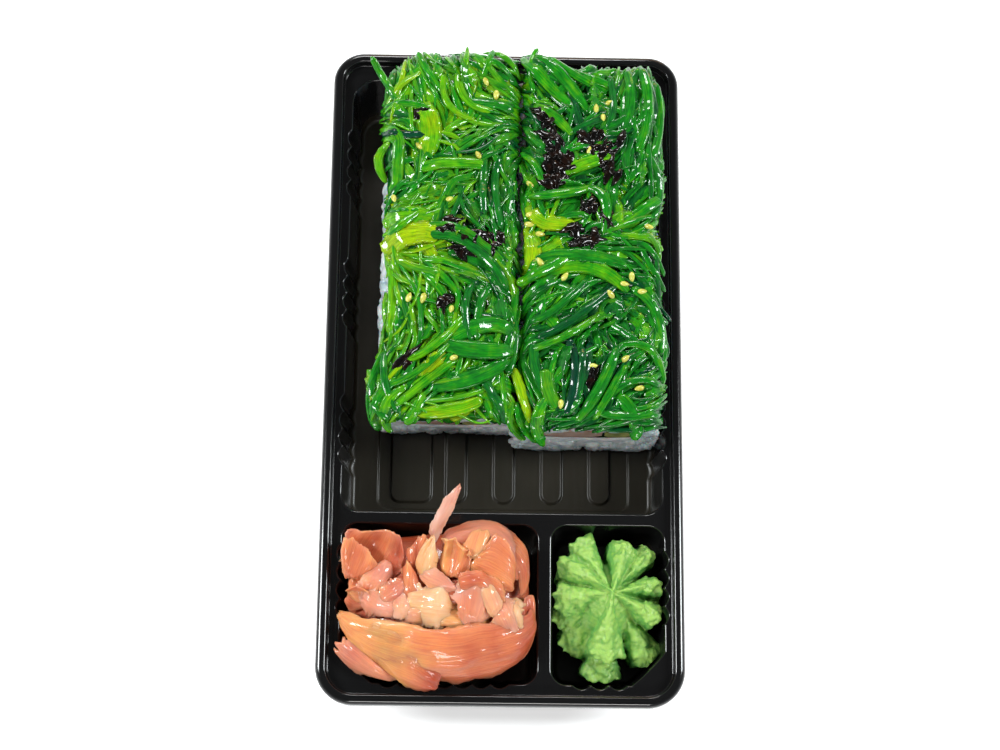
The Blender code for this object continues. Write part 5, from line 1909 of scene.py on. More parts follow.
RIGHT_STRIPS = tuple(Strip(*row) for row in (
    ((6.0, 48.5), (16, 48.6), (25, 51.5), 3.3, (0.4, 1.5, 0.9), 0.4, 0.05, 1.5, 0.2),
    ((22, 51), (28.3, 47), (27.6, 36), 3.2, (0.9, 1.3, 0.1), 0.38, 0.1, 1.5, 0.2),
    ((4.4, 62), (8.6, 57), (11, 50), 2.6, (0.5, 1.2, 0.3), 0.4, 0.1, 1.3, 0.3),
    ((3.4, 22.5), (12, 26), (21, 33), 3.0, (0.9, 1.3, 0.2), 0.42, 0.0, 0.9, 0.9),
    ((8, 29), (22, 30.5), (35, 27), 4.4, (0.0, 1.1, 0.4), 0.34, 0.2, 0.8, 0.3, 0.3),
    ((12, 25), (24, 27), (35, 20), 4.4, (0.0, 1.0, 0.2), 0.5, 0.0, 0.8, 0.3, 0.3),
    ((18, 6), (20, -5), (17, -16), 2.8, (0.5, 1.1, 0.2), 0.12, 0.85, 0.9, 0.8),
    ((22, 4), (21.6, -6), (19.5, -16), 2.2, (0.6, 1.3, 0.3), 0.2, 0.6, 0.9, 0.8),
    ((20, -18), (27, -8), (32, 4), 3.3, (0.3, 1.5, 0.5), 0.36, 0.2, 1.3, 0.4),
    ((25, -17), (30, -9), (34, -1), 2.4, (0.2, 1.2, 0.3), 0.4, 0.1),
    ((38, 19), (43, 17), (47.2, 12), 1.1, (0.2, 0.8, 0.8), 0.1, 0.7),
    ((37, 16), (42, 14), (46.6, 12), 3.0, (-0.5, -0.4, -2.0), 0.3, 0.4, 0.6, 0.1),
    ((12, -11), (9.4, -18.4), (11.8, -23.2), 3.8, (0.2, 0.2, -5.5), 0.44, 0.0, 0.6, 0.3, 0.5),
    ((3, -12), (2.0, -17), (6.4, -21.6), 3.0, (0.2, 0.0, -4.0), 0.5, 0.0, 0.6, 0.3, 0.4),
    ((4, -12), (5.4, -18), (9.6, -22.6), 2.8, (0.2, 0.2, -4.5), 0.36, 0.0, 0.6, 0.3, 0.4),
    ((9, 94.0), (7, 88), (8, 80), 1.8, (0.6, 0.8, 0.3), 0.4),
    ((30, 81), (21, 85), (12, 91), 2.6, (-0.4, 0.6, 1.4), 0.36),
    ((4.5, 92), (10, 85), (19, 76), 4.0, (0.8, 1.1, 0.2), 0.42, 0.0, 0.9, 0.3, 0.2),
    ((8, 91.5), (16, 85), (24, 74), 3.6, (0.6, 1.1, 0.2), 0.36, 0.1, 0.9, 0.3, 0.2),
    ((8, 76), (14, 72), (19, 67), 3.0, (0.3, 1.0, 0.3), 0.55, 0.1, 0.8, 0.3),
    ((35, 88), (36, 78), (34, 68), 3.0, (0.1, 1.1, 0.2), 0.3, 0.15),
    ((39, 89), (41, 76), (38, 62), 3.2, (0.1, 1.0, 0.2), 0.34, 0.1),
    ((43.5, 85), (44.5, 72), (42, 60), 2.8, (-0.2, 0.4, 0.0), 0.36, 0.1),
    ((30, 86), (31, 76), (29, 68), 2.4, (0.2, 1.0, 0.2), 0.26, 0.4),
    ((16, 55), (23, 58.5), (31, 61), 4.6, (0.2, 1.2, 0.6), 0.56, 0.0, 0.8, 0.4, 0.3),
    ((32, 39), (39, 44), (45, 49), 3.6, (0.4, 1.0, 0.7), 0.4, 0.05, 0.9, 0.7),
    ((40, 62), (44, 52), (42, 42), 2.8, (0.1, 0.7, 0.0), 0.3, 0.3),
    ((7, 46), (11, 41), (20, 40), 5.0, (-0.2, 0.6, 0.1), 0.85, 0.0, 0.8, 0.4, 0.35),
    ((6.5, 40), (8, 33), (7, 26), 5.0, (-0.2, 0.6, -0.1), 0.84, 0.0, 0.8, 0.4, 0.35),
    ((9, 6), (20, 12), (32, 22), 2.4, (0.3, 1.2, 0.3), 0.2, 0.6),
    ((7, 11), (14, 14), (24, 24), 2.2, (0.3, 1.2, 0.3), 0.3, 0.3),
    ((7, 3), (16, 6), (26, 13), 2.4, (0.3, 1.1, 0.3), 0.46, 0.1),
    ((36, 21), (43, 14), (44, 2), 3.0, (0.4, 1.0, 0.1), 0.36, 0.15),
    ((32, 4), (41, 3), (45, -6), 2.4, (0.3, 1.0, 0.1), 0.4, 0.1),
    ((28, -12), (36, -6), (44, -7), 2.4, (0.2, 1.0, 0.1), 0.34, 0.25),
    ((2.6, -2), (5, -9), (7.5, -18), 3.0, (0.3, 1.2, 0.3), 0.88, 0.0, 0.9, 0.4, 0.2),
    ((8.5, 5), (9, -3), (12, -10), 3.2, (0.3, 0.9, 0.2), 0.3, 0.4, 0.8, 0.6),
    ((12, -3), (12.6, -9), (15, -14), 4.2, (0.4, 0.9, 0.3), 0.55, 0.2, 0.7, 0.9),
    ((32, -10), (37, -17), (36, -21.5), 4.4, (0.2, 0.2, -2.6), 0.36, 0.1, 0.8, 0.5, 0.35),
    ((24, -14), (34, -16), (44, -15), 3.0, (0.1, 0.7, 0.0), 0.34, 0.2, 0.8, 0.4, 0.3),
))

LEFT_FLAKES = tuple(Flake(*row) for row in (
    (-15, 38, 4.4, 2.4, 20, 0.6), (-6, 35, 5.0, 2.2, 170, 0.7), (-10.5, 32, 3.0, 1.6, 30, 0.8),
    (-16, 17, 2.2, 1.6, 30, 0.2), (-28, -1.5, 2.4, 1.2, 50, 0.4), (-24, 73, 2.2, 1.8, 80, 0.3),
))

RIGHT_FLAKES = tuple(Flake(*row) for row in (
    (11, 73, 4.2, 1.8, -50, 0.4), (13, 66, 4.6, 2.6, -60, 0.7), (15, 58, 5.0, 4.2, 10, 0.8),
    (14, 53, 4.4, 2.2, 10, 0.9), (24, 66, 4.6, 2.2, 20, 0.7), (28, 62.5, 4.8, 2.4, 12, 0.9),
    (29.5, 57, 2.8, 1.8, 120, 0.8), (24, 45, 3.0, 2.2, 60, 0.5), (29, 42, 2.6, 2.2, 60, 0.6),
    (23, 34.5, 4.6, 1.8, 12, 0.9), (20, 38, 2.2, 1.4, 80, 0.7), (24.5, -5, 1.8, 1.0, 70, 0.7),
))

LEFT_SEEDS = (
    (-6, 83), (-3, 79), (-25, 63), (-8, 60), (-32, 47), (-16, 47), (-27, 17), (-23, 17), (-15, 14), (-14, 0),
)

RIGHT_SEEDS = (
    (30, 77), (26, 75), (28, 72), (7, 52), (7, 43), (7, 40), (10, 37), (41, 39), (10, 28), (17, 24), (34, 22),
    (36, 24), (39, 20), (30, 19), (34, 0), (25, -2), (16, -13), (38, -8), (24, 62),
)


# Pickled ginger


def spline(places: Array, share: Array) -> Array:
    """Points at shares of a smooth curve through places: between two, a cubic with the neighbours' slopes.

    Args:
        places: Places that the curve goes through.
        share: Shares of the way along it.

    Returns:
        One point for each share.
    """
    slopes = np.gradient(places, axis=0)
    spot = np.clip(share, 0, 1) * (len(places) - 1)
    left = np.minimum(spot.astype(int), len(places) - 2)
    t = (spot - left)[..., None]
    first = places[left] * (1 + 2 * t) * (1 - t) ** 2 + slopes[left] * t * (1 - t) ** 2
    return first + places[left + 1] * t**2 * (3 - 2 * t) + slopes[left + 1] * t**2 * (t - 1)


@dataclass(frozen=True)
class GingerSlice:
    """A slice of ginger between two drawn edges.

    Attributes:
        far: Places along its far edge, from left to right.
        near: Places along its near edge, from left to right.
        crown: How far it arches out between them.
        tones: Colour at its left end, middle and right end, from 0, amber, to 1, cream.
        along: Whether its fibres run along the edges, rather than from one to the other.
        wave: Height of its folds.
        folds: How many folds there are from left to right.
        ragged: How uneven its outline is.
        curl: How far its far edge rolls up.
        thickness: Its thickness in the middle.
        frayed: Extra unevenness of its left end.
        pale: How much of a pale pink it has.
        rounded: How much its corners are drawn in.
    """

    far: tuple[Triple, ...]
    near: tuple[Triple, ...]
    crown: float
    tones: Triple
    along: bool = True
    wave: float = 0.3
    folds: float = 1.5
    ragged: float = 0.5
    curl: float = 0.0
    thickness: float = 0.9
    frayed: float = 0.0
    pale: float = 0.0
    rounded: float = 0.12


def ruffle(place: Triple, turn: float, long: float, wide: float, tone: float,
           pale: float) -> GingerSlice:
    """A small slice bent over like a wave, with low edges and a high middle.

    Args:
        place: Its middle.
        turn: Turn of its length in degrees.
        long: Its length.
        wide: Its width.
        tone: Colour of its middle.
        pale: How much of a pale pink it has.

    Returns:
        The slice.
    """
    angle = math.radians(turn)
    length = np.array([math.cos(angle), math.sin(angle), 0.0]) * long * 0.68
    width = np.array([-math.sin(angle), math.cos(angle), 0.0]) * wide * 0.66

    def edge(side: int) -> tuple[tuple, ...]:
        """Three places along an edge, its ends drawn in and lower."""
        along = [(step, (0, 0, 1.5 + 1.2 * step**2)) for step in (-1.0, 0.0, 1.0)]
        return tuple(
            tuple(np.array(place) + length * step + side * width * (1 - 0.35 * step**2) - down)
            for step, down in along
        )

    return GingerSlice(
        edge(1), edge(-1), 1.5 + 0.1 * wide, (tone - 0.1, tone, tone - 0.16), wave=0.75, folds=1.9,
        ragged=1.7, curl=0.6, pale=pale, rounded=0.14,
    )


# Place, turn, length, width, tone and paleness of the small slices in the middle of the heap.
RUFFLES = (
    (-34.8, -62.9, 30.0, 60, 9.5, 5.5, 0.42, 0.35),
    (-29.8, -66.2, 30.5, 35, 7.5, 5.0, 0.4, 0.25),
    (-32.7, -68.5, 30.2, -25, 9.5, 6.5, 0.46, 0.5),
    (-27.0, -69.6, 31.0, -15, 7.5, 6.0, 0.6, 0.75),
    (-22.7, -71.3, 30.6, -8, 9.0, 5.5, 0.6, 0.5),
    (-12.4, -72.2, 31.0, -4, 13.5, 6.0, 0.84, 0.1),
    (-19.1, -69.1, 32.2, -8, 10.5, 8.5, 0.98, 0.2),
    (3.5, -71.2, 30.0, 105, 6.5, 4.0, 0.92, 0.2),
    (0.1, -70.6, 31.6, 118, 9.5, 5.5, 0.48, 0.6),
    (-7.2, -67.6, 33.4, 78, 10.5, 8.0, 0.5, 0.55),
    (-3.3, -66.4, 34.2, 112, 8.5, 5.0, 0.68, 0.45),
)


SLICES = (
    GingerSlice(
        ((-45.2, -69.9, 24.5), (-36.7, -72.3, 28.5), (-25, -74, 30.6), (-14.1, -75.2, 31.6),
         (-4.7, -73.6, 31), (5.6, -71.4, 28), (9.1, -67.8, 24)),
        ((-44.6, -72.5, 23.5), (-39.5, -81.2, 22.5), (-29.7, -87.6, 22.3), (-16.7, -89.5, 22.5),
         (-4.4, -88.2, 22.5), (4.4, -84.5, 22.5), (8.8, -75.9, 22.4)),
        3.4, (0.7, 0.5, 0.14), wave=0.3, folds=1.2, ragged=0.8, thickness=1.0, rounded=0.05,
    ),
    GingerSlice(
        ((-38.5, -73.4, 29.2), (-30, -76, 30.6), (-22.4, -78.8, 30.4), (-15.6, -86.5, 27.6)),
        ((-35.5, -84, 24.8), (-29.5, -88.6, 23.8), (-23.0, -91.8, 23.2), (-17.2, -92.0, 23.8)),
        1.5, (0.72, 0.62, 0.0), wave=0.2, folds=0.8, ragged=0.8, rounded=0.08,
    ),
    GingerSlice(
        ((-45.6, -77.4, 24.2), (-41.4, -78.2, 25.5), (-35.9, -82.2, 25.5), (-28.7, -88, 23.5)),
        ((-46.0, -81.3, 22.8), (-42.1, -85.5, 22.5), (-35.2, -88.3, 22.3), (-28.3, -89.6, 22.3)),
        1.3, (0.5, 0.4, 0.34), wave=0.35, folds=1.0, ragged=0.7, frayed=3.0, pale=0.25,
    ),
    GingerSlice(
        ((-42.6, -49.0, 33.4), (-37.2, -48.9, 31.5), (-31.7, -48.9, 31.5), (-28.5, -50.5, 32.5),
         (-26.2, -55.4, 31)),
        ((-44, -55.3, 29), (-43.6, -59.9, 27), (-40.5, -63.0, 26), (-35, -63.4, 26), (-28.6, -61.9, 28)),
        -2.4, (0.44, 0.4, 0.22), along=False, wave=0.5, folds=2.2, ragged=0.5, curl=0.5,
    ),
    GingerSlice(
        ((-43.2, -50.2, 33.2), (-40.6, -50.6, 32.6), (-36.8, -54.6, 31.0), (-34.2, -58.0, 29.6)),
        ((-44.4, -56, 29.4), (-43.4, -60.6, 27.2), (-40.4, -62.8, 26.6), (-37, -63.4, 27)),
        0.9, (0.5, 0.44, 0.4), along=False, wave=0.5, folds=1.4, ragged=1.1, curl=0.4,
    ),
    GingerSlice(
        ((-42.4, -64.7, 27), (-39.5, -64, 30), (-36.5, -65, 30), (-35.1, -67.6, 29)),
        ((-43.9, -67.1, 24), (-42.4, -70.5, 24), (-38.9, -70.3, 26), (-35.4, -70.8, 27)),
        -1.2, (0.44, 0.34, 0.4), wave=0.3, curl=1.0,
    ),
    GingerSlice(
        ((-42.6, -61.8, 26), (-39.2, -60.4, 26.5), (-35, -59.8, 27)),
        ((-42.8, -66.8, 25), (-38.5, -68.0, 28), (-33.4, -67.2, 29)),
        1.0, (0.44, 0.5, 0.6), wave=0.6, folds=2.4, ragged=0.7,
    ),
    GingerSlice(
        ((-26.8, -55.3, 30.4), (-23.7, -51.2, 33), (-21, -49.4, 34)),
        ((-25.8, -60.4, 27), (-23, -58.1, 29), (-20.3, -53.9, 32.6)),
        0.8, (0.24, 0.36, 0.5), along=False, wave=0.5, ragged=1.1,
    ),
    GingerSlice(
        ((-20.9, -51.0, 34.5), (-18.9, -52.3, 34), (-17.6, -56.3, 33)),
        ((-23.9, -58.3, 30), (-21.9, -62.0, 30), (-18.3, -61.4, 31)),
        0.9, (0.74, 0.94, 0.8), along=False, wave=0.6, folds=1.6, ragged=1.3,
    ),
    GingerSlice(
        ((-27.8, -58.2, 29), (-25.7, -58.1, 31), (-23.4, -60.5, 31)),
        ((-26.9, -66.4, 29), (-25.0, -68.6, 30), (-22.2, -66.3, 31)),
        0.9, (0.4, 0.5, 0.3), along=False, wave=0.4, ragged=1.1,
    ),
    GingerSlice(
        ((-22.8, -58.2, 31.0), (-19.8, -58.4, 32.6), (-15.7, -61.2, 32.8), (-12.7, -63.6, 32)),
        ((-22.6, -62, 30), (-18.4, -65.4, 31), (-14.3, -66.2, 31.4), (-11.4, -65.4, 31)),
        0.7, (0.5, 0.46, 0.36), wave=0.35, ragged=0.9, pale=0.55,
    ),
    GingerSlice(
        ((-20.8, -49.4, 31.5), (-18.9, -46, 34.5), (-15.3, -41.2, 41), (-11.9, -38.1, 43.6)),
        ((-18.8, -52.0, 30.5), (-16.8, -48.8, 33.5), (-13.3, -43.7, 40), (-11.5, -38.9, 43.2)),
        0.4, (0.6, 0.4, 0.2), wave=0.15, folds=0.8, ragged=0.45, thickness=0.7, pale=0.75, rounded=0.0,
    ),
    GingerSlice(
        ((-17.2, -51.4, 26), (-14.6, -47.1, 25.5), (-8.4, -44.9, 24.6), (-0.8, -45.4, 24), (4.8, -49.7, 23.6),
         (7.2, -57, 23.5)),
        ((-15.5, -55.2, 31), (-11.7, -53.9, 33), (-6.3, -54.6, 33.6), (-2.2, -55.9, 33.4), (1.3, -59, 32),
         (4.1, -62.6, 29)),
        1.6, (0.34, 0.4, 0.34), wave=0.4, folds=1.8, pale=0.25,
    ),
    GingerSlice(
        ((-0.4, -45.8, 25.4), (4.1, -48.7, 24.6), (6.9, -53.9, 24), (7.3, -61.8, 23.8)),
        ((0.3, -53.9, 31), (3.2, -57.2, 29.8), (5.4, -61.1, 28.4), (6, -66.8, 27)),
        1.3, (0.4, 0.36, 0.28), wave=0.25,
    ),
    GingerSlice(
        ((-16.3, -50.6, 33), (-12.8, -51.1, 34.6), (-9, -53.4, 35.2), (-8.1, -55.9, 34.6)),
        ((-18.2, -57.2, 31), (-15.7, -62.0, 31), (-11.6, -61.8, 32), (-8.4, -60.8, 32)),
        -0.8, (0.78, 0.54, 0.46), along=False, wave=0.6, folds=2.6, curl=1.3, ragged=1.2,
    ),
    GingerSlice(
        ((-8.2, -49.4, 31.5), (-5.4, -48.4, 32.5), (-2.8, -50.1, 32)),
        ((-11.6, -54.6, 33.6), (-8.2, -57.0, 34.4), (-4.4, -55.3, 34)),
        1.6, (0.6, 0.74, 0.5), along=False, wave=0.6, ragged=0.9, pale=0.2,
    ),
    GingerSlice(
        ((-5.6, -53.8, 35), (-1.9, -50.3, 33.7), (2.0, -53.3, 32.4), (4.4, -58.3, 29.9)),
        ((-9.7, -58.9, 33.0), (-5.5, -62.4, 32.4), (-0.7, -64.3, 31.4), (3.1, -65.9, 29.4)),
        1.2, (0.56, 0.5, 0.4), wave=0.35, folds=1.2, ragged=0.8, curl=0.4,
    ),
    GingerSlice(
        ((-19.8, -62.1, 29), (-14.3, -62.2, 30), (-10.2, -61.3, 31)),
        ((-21, -68.9, 30), (-15.6, -69, 31), (-10.2, -69, 32)),
        0.6, (0.3, 0.2, 0.26), wave=0.5, folds=2.4,
    ),
    GingerSlice(
        ((-12.4, -61.2, 32.5), (-8.9, -60.1, 33.7), (-4.8, -60.1, 33.7), (0.4, -62.9, 32.2)),
        ((-11.8, -65.3, 32), (-7.5, -65.5, 34), (-3.4, -66.1, 34), (1.6, -68.5, 31.6)),
        0.9, (0.26, 0.32, 0.44), wave=0.5, folds=2.6, ragged=0.7,
    ),
    GingerSlice(
        ((5.0, -68.6, 27.8), (7.7, -65.8, 25.6), (9.4, -66.3, 23.6)),
        ((2.4, -84.7, 23.4), (7.2, -82.3, 22.8), (9.3, -74.5, 22.5)),
        1.0, (0.26, 0.3, 0.4), along=False, wave=0.2,
    ),
    *(ruffle(row[:3], *row[3:]) for row in RUFFLES),
)


@dataclass
class GingerHeap:
    """The heap of pickled ginger: thin fibrous slices arched, folded and curled over each other.

    Attributes:
        finish: Its finish.
        rows: Points from left to right on each slice.
        columns: Points from far to near on each slice.
        middle: The heap's middle.
        unevenness: Height, wave and seed of the noises that put a slice's ends and its edges off.
        slices: The slices, each laid over the ones before it.
    """

    finish: PickledGinger = PickledGinger()
    rows: int = 50
    columns: int = 28
    middle: Triple = (-17.4, -67.4, 14.0)
    unevenness: tuple = (
        ((1.3, 4.0, 51), (0.6, 1.3, 52), (0.3, 0.5, 60)), ((1.3, 4.0, 53), (0.6, 1.3, 54), (0.3, 0.5, 61)),
    )
    slices: tuple[GingerSlice, ...] = SLICES

    def surface(self, piece: GingerSlice, number: int) -> tuple[Array, Array, Array, Array]:
        """A slice's middle surface, its thickness, its own coordinates and its tone.

        Straight lines from its far to its near edge give a first surface. Its outline is put off by noise,
        and it is moved along its normal by an arch, folds that start at the far edge, a curl of that edge
        and noise.

        Args:
            piece: The slice.
            number: Its number, which sets its noise apart.

        Returns:
            Points, thickness, fibre coordinates and tone by row and column.
        """
        far, near = np.array(piece.far, float), np.array(piece.near, float)
        u, v = shares(self.rows, self.columns)
        wide = sum(np.linalg.norm(np.diff(edge, axis=0), axis=1).sum() for edge in (far, near)) / 2
        tall = np.linalg.norm(spline(near, np.array([0.5])) - spline(far, np.array([0.5])))
        local = np.stack([u * wide, v * tall, np.full_like(u, 17.0 * number)], -1)
        off_u, off_v = (
            piece.ragged * sum(high * noise(local, wave, seed) for high, wave, seed in fields)
            for fields in self.unevenness
        )
        fray = piece.frayed * (noise(local * (0.1, 1, 1), 0.9, 58) + 0.3) * (1 - u) ** 4
        across, down = 2 * u - 1, 2 * v - 1
        us = (1 + across * (1 - piece.rounded * down**6)) / 2
        vs = (1 + down * (1 - piece.rounded * across**6)) / 2
        us = np.clip(us + (off_u * across**6 + fray) / wide, 0, 1)
        vs = (vs + off_v * down**6 / tall)[..., None]
        points = spline(far, us) * (1 - vs) + spline(near, us) * vs
        normal = grid_normals(points)
        normal = normal * np.where(normal[..., 2:] < 0, -1.0, 1.0)
        arch = piece.crown * np.sin(math.pi * v) ** 0.8 * (0.4 + 0.6 * np.sin(math.pi * u))
        phase = number * 1.7
        bend = 0.8 * noise(local, 7.0, 59)
        folds = np.sin(2 * math.pi * piece.folds * u + bend + phase) * (1 - 0.7 * v)
        curl = piece.curl * np.clip(1 - v / 0.25, 0, 1) ** 2 * 1.4
        streak = (0.35, 1, 1) if piece.along else (1, 0.35, 1)
        rough = 0.42 * noise(local, 5.0, 55) + 0.3 * noise(local * streak, 1.7, 56)
        rough = (0.7 + 0.5 * piece.ragged) * rough + 0.1 * noise(local * streak, 0.7, 62)
        drop = 0.9 * np.maximum(np.abs(2 * u - 1) ** 9, v**9)
        points = points + normal * (arch + piece.wave * folds + curl + rough - drop)[..., None]
        edge = np.minimum(np.minimum(u, 1 - u) * wide, np.minimum(v, 1 - v) * tall)
        thickness = piece.thickness * (0.16 + 0.84 * np.clip(edge / 2.2, 0, 1) ** 0.7)
        # Painted light and shade: the tone rises on the folds' crests and falls in their hollows.
        tone = np.interp(u, (0.0, 0.5, 1.0), piece.tones) + 0.08 * folds
        lay = local if piece.along else local[..., [1, 0, 2]]
        return points, thickness, lay, tone

    def slice_body(self, piece: GingerSlice, number: int) -> Shape:
        """A slice as a thin closed body with the values of its finish: paler at its thin edges.

        Args:
            piece: The slice.
            number: Its number.

        Returns:
            The slice's body.
        """
        points, thickness, lay, tone = self.surface(piece, number)
        normal = grid_normals(points)
        half = normal * thickness[..., None] / 2
        thin = np.clip(1 - thickness / piece.thickness, 0, 1)
        tone = tone + 0.1 * noise(lay, 9.0, 57) + 0.12 * thin
        pale = piece.pale * (0.7 + 0.6 * noise(lay, 4.0, 63)) + 0.2 * thin
        values = {"lay": lay[None], "tone": np.clip(tone, 0, 1)[None], "pale": np.clip(pale, 0, 1)[None]}
        return sheets((points + half)[None], (points - half)[None], values)

    def core(self) -> Shape:
        """The inside of the heap: a lumpy dome in its compartment that shows between the slices."""
        angle = np.linspace(0, 2 * math.pi, 60, endpoint=False)
        levels = np.array([
            (1.2, 23.0, 18.2, 3.4), (4.0, 24.2, 19.4, 3.4), (12.0, 24.9, 19.8, 3.4), (19.0, 25.0, 20.0, 3.2),
            (23.0, 23.0, 18.4, 2.8), (25.5, 19.0, 15.0, 2.4), (27.2, 12.0, 9.0, 2.2), (28.0, 5.0, 4.0, 2.0),
        ])
        height, half_x, half_y, power = (levels[:, k, None] for k in range(4))
        cosine, sine = np.cos(angle), np.sin(angle)
        size = (np.abs(cosine) ** power + np.abs(sine) ** power) ** (-1 / power)
        x = self.middle[0] + half_x * cosine * size
        y = self.middle[1] + half_y * sine * size
        rings = np.stack([x, y, np.broadcast_to(height, x.shape)], -1)
        swell = 0.9 * layered_noise(rings, 6.0, 61, 3)
        rings = rings + unit(rings - np.array(self.middle)) * np.minimum(swell, 0.5)[..., None]
        tone = 0.26 + 0.18 * noise(rings, 5.0, 62)
        values = {"lay": rings[None], "tone": np.clip(tone, 0, 1)[None], "pale": 0 * tone[None]}
        return tubes(rings[None], values)

    def build(self) -> bpy.types.Object:
        """Builds the heap."""
        shapes = [self.core()] + [self.slice_body(piece, number) for number, piece in enumerate(self.slices)]
        piece = make_piece("ginger_slices", joined(shapes), self.finish.material())
        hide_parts("pickled_ginger")
        return piece


# Wasabi


@dataclass(frozen=True)
class Petal:
    """A petal of the rosette: its direction in degrees, start, reach, half width, top and foot."""

    turn: float
    start: float
    reach: float
    width: float
    top: float
    foot: float = 4.0


@dataclass
class WasabiRosette:
    """The piped rosette: petals that widen and break into crumbs outwards, over a low base."""

    finish: Wasabi = Wasabi()
    centre: Pair = (31.0, -64.0)
    voxel: float = 0.34
    petal_grid: tuple[int, int] = (34, 26)
    cup: Four = (15.8, 43.9, -87.5, -47.1)
    cup_corner: float = 123.2
    petals: tuple[Petal, ...] = tuple(Petal(*row) for row in (
        (148, 0.0, 17.4, 5.0, 24.8), (122, 2.0, 18.6, 5.2, 22.6), (75, 0.0, 15.8, 4.8, 24.2),
        (50, 3.0, 17.2, 4.4, 20.6), (14, 0.0, 14.4, 3.8, 23.2), (-27, 0.0, 15.0, 4.4, 24.0),
        (-97, 0.0, 19.4, 6.4, 24.8), (188, 0.0, 16.4, 6.4, 23.4), (-58, 4.0, 22.4, 6.0, 18.4, 1.2),
        (-97, 8.0, 24.6, 6.8, 17.6, 1.2), (-128, 4.0, 20.4, 6.4, 17.4, 1.2),
        (-152, 3.0, 17.6, 5.0, 19.0, 2.0), (-10, 6.0, 17.6, 5.0, 15.0, 1.2),
    ))

    def petal_body(self, petal: Petal, number: int) -> Shape:
        """A petal: a rounded ridge carried outwards, wider and lower with distance, its tip toothed.

        Args:
            petal: The petal.
            number: Its number, which sets its teeth apart.

        Returns:
            The petal's body.
        """
        share = np.linspace(0, 1, self.petal_grid[0])[:, None]
        turn = np.linspace(0, math.pi, self.petal_grid[1])[None]
        across = -np.cos(turn) * np.ones_like(share)
        rise = np.clip(np.sin(turn), 0, None) ** 0.42 * np.ones_like(share)
        apart = np.full_like(across, number * 13.0)
        local = np.stack([across * 6, share * 17 * np.ones_like(across), apart], -1)
        teeth = noise(local, 1.9, 81) + 0.5 * noise(local, 1.0, 82)
        tip = np.where(share > 0.8, 1 - (share - 0.8) ** 2 * 5, 1)
        width = petal.width * (0.12 + 0.88 * share**0.9) * tip
        along = petal.start + (petal.reach - petal.start) * share * (1 - 0.10 * across**2 * share)
        along = along + 0.9 * teeth * share**3
        sideways = across * width + 0.8 * teeth * share**1.5 * across
        channel = 1 - 0.12 * share * (1 - across**2) - 0.1 * np.clip(across, 0, 1)
        ridge = (petal.top - petal.foot) * rise * channel * (1 - 0.14 * share**3)
        height = petal.foot + 4.5 * share**2 + ridge
        height = height - 4.5 * share**2 * rise + 0.7 * teeth * share * rise
        forward = np.array([math.cos(math.radians(petal.turn)), math.sin(math.radians(petal.turn))])
        side = np.array([-forward[1], forward[0]])
        plan = np.array(self.centre) + along[..., None] * forward + sideways[..., None] * side
        rings = np.concatenate([plan, height[..., None]], -1)
        return tubes(rings[None])

    def base_body(self) -> Shape:
        """The low base: a round cone that fills the middle."""
        angle = np.linspace(0, 2 * math.pi, 40, endpoint=False)
        levels = np.array([(1.2, 11.4), (3.0, 12.2), (9.0, 11.0), (15.0, 9.0), (20.0, 4.6), (22.6, 1.6)])
        height, size = levels[:, :1], levels[:, 1:]
        x = self.centre[0] - 0.6 + size * np.cos(angle)
        y = self.centre[1] - 2.0 + size * 1.15 * np.sin(angle)
        rings = np.stack([x, y, np.broadcast_to(height, x.shape)], -1)
        return tubes(rings[None])

    def melted(self, shape: Shape) -> Shape:
        """One closed skin round bodies that run into each other, by a fine voxel remesh.

        Args:
            shape: The bodies.

        Returns:
            Their skin.
        """
        body = new_object("rosette_bodies", shape)
        skin = body.modifiers.new("Skin", "REMESH")
        skin.mode = "VOXEL"
        skin.voxel_size = self.voxel * MM
        graph = bpy.context.evaluated_depsgraph_get()
        result = bpy.data.meshes.new_from_object(body.evaluated_get(graph))
        bpy.data.objects.remove(body, do_unlink=True)
        points = np.empty(len(result.vertices) * 3)
        result.vertices.foreach_get("co", points)
        corners = np.empty(len(result.loops), int)
        result.loops.foreach_get("vertex_index", corners)
        return Shape(points.reshape(-1, 3) / MM, corners.reshape(-1, 4)).facing_out()

    def pressed(self, points: Array) -> Array:
        """Presses what would pass the cup's leaning walls or its cut corner back against them.

        Args:
            points: Points of the rosette.

        Returns:
            The points, pressed back.
        """
        left, right, near, far = self.cup
        x, y, height = points.T
        lean = WALL_LEAN * np.clip(height, 0.0, WALL_HEIGHT)
        x, y = np.clip(x, left - lean, right + lean), np.clip(y, near - lean, far + lean)
        over = np.maximum(x - y - self.cup_corner - 1.5 * lean, 0.0)
        return np.stack([x - over / 2, y + over / 2, height], 1)

    def build(self) -> bpy.types.Object:
        """Builds the rosette with its grainy skin."""
        bodies = [self.petal_body(petal, number) for number, petal in enumerate(self.petals)]
        skin = self.melted(joined(bodies + [self.base_body()]))
        outward = skin.normals()
        grain = 0.3 * layered_noise(skin.points, 2.2, 91, 3) + 0.17 * noise(skin.points, 0.75, 95)
        skin.points = self.pressed(skin.points + outward * grain[:, None])
        # Painted light and shade: the lit share grows where the skin faces up, stands high or bulges out, and
        # shrinks in its hollows and down its sides.
        up = skin.normals()[:, 2]
        high = np.clip((skin.points[:, 2] - 12) / 14, 0, 1)
        crest = 0.15 + 0.75 * np.clip(up, 0, 1) ** 1.5 + 0.25 * high + 0.5 * grain
        skin.values["crest"] = np.clip(crest, 0, 1)
        piece = make_piece("wasabi_rosette", skin, self.finish.material())
        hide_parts("wasabi")
        return piece


# Studio and camera


@dataclass(frozen=True)
class Softbox:
    """A soft lamp: where it stands in metres, its size, power and colour."""

    place: Triple
    size: Pair
    power: float
    colour: Triple = (1.0, 1.0, 1.0)


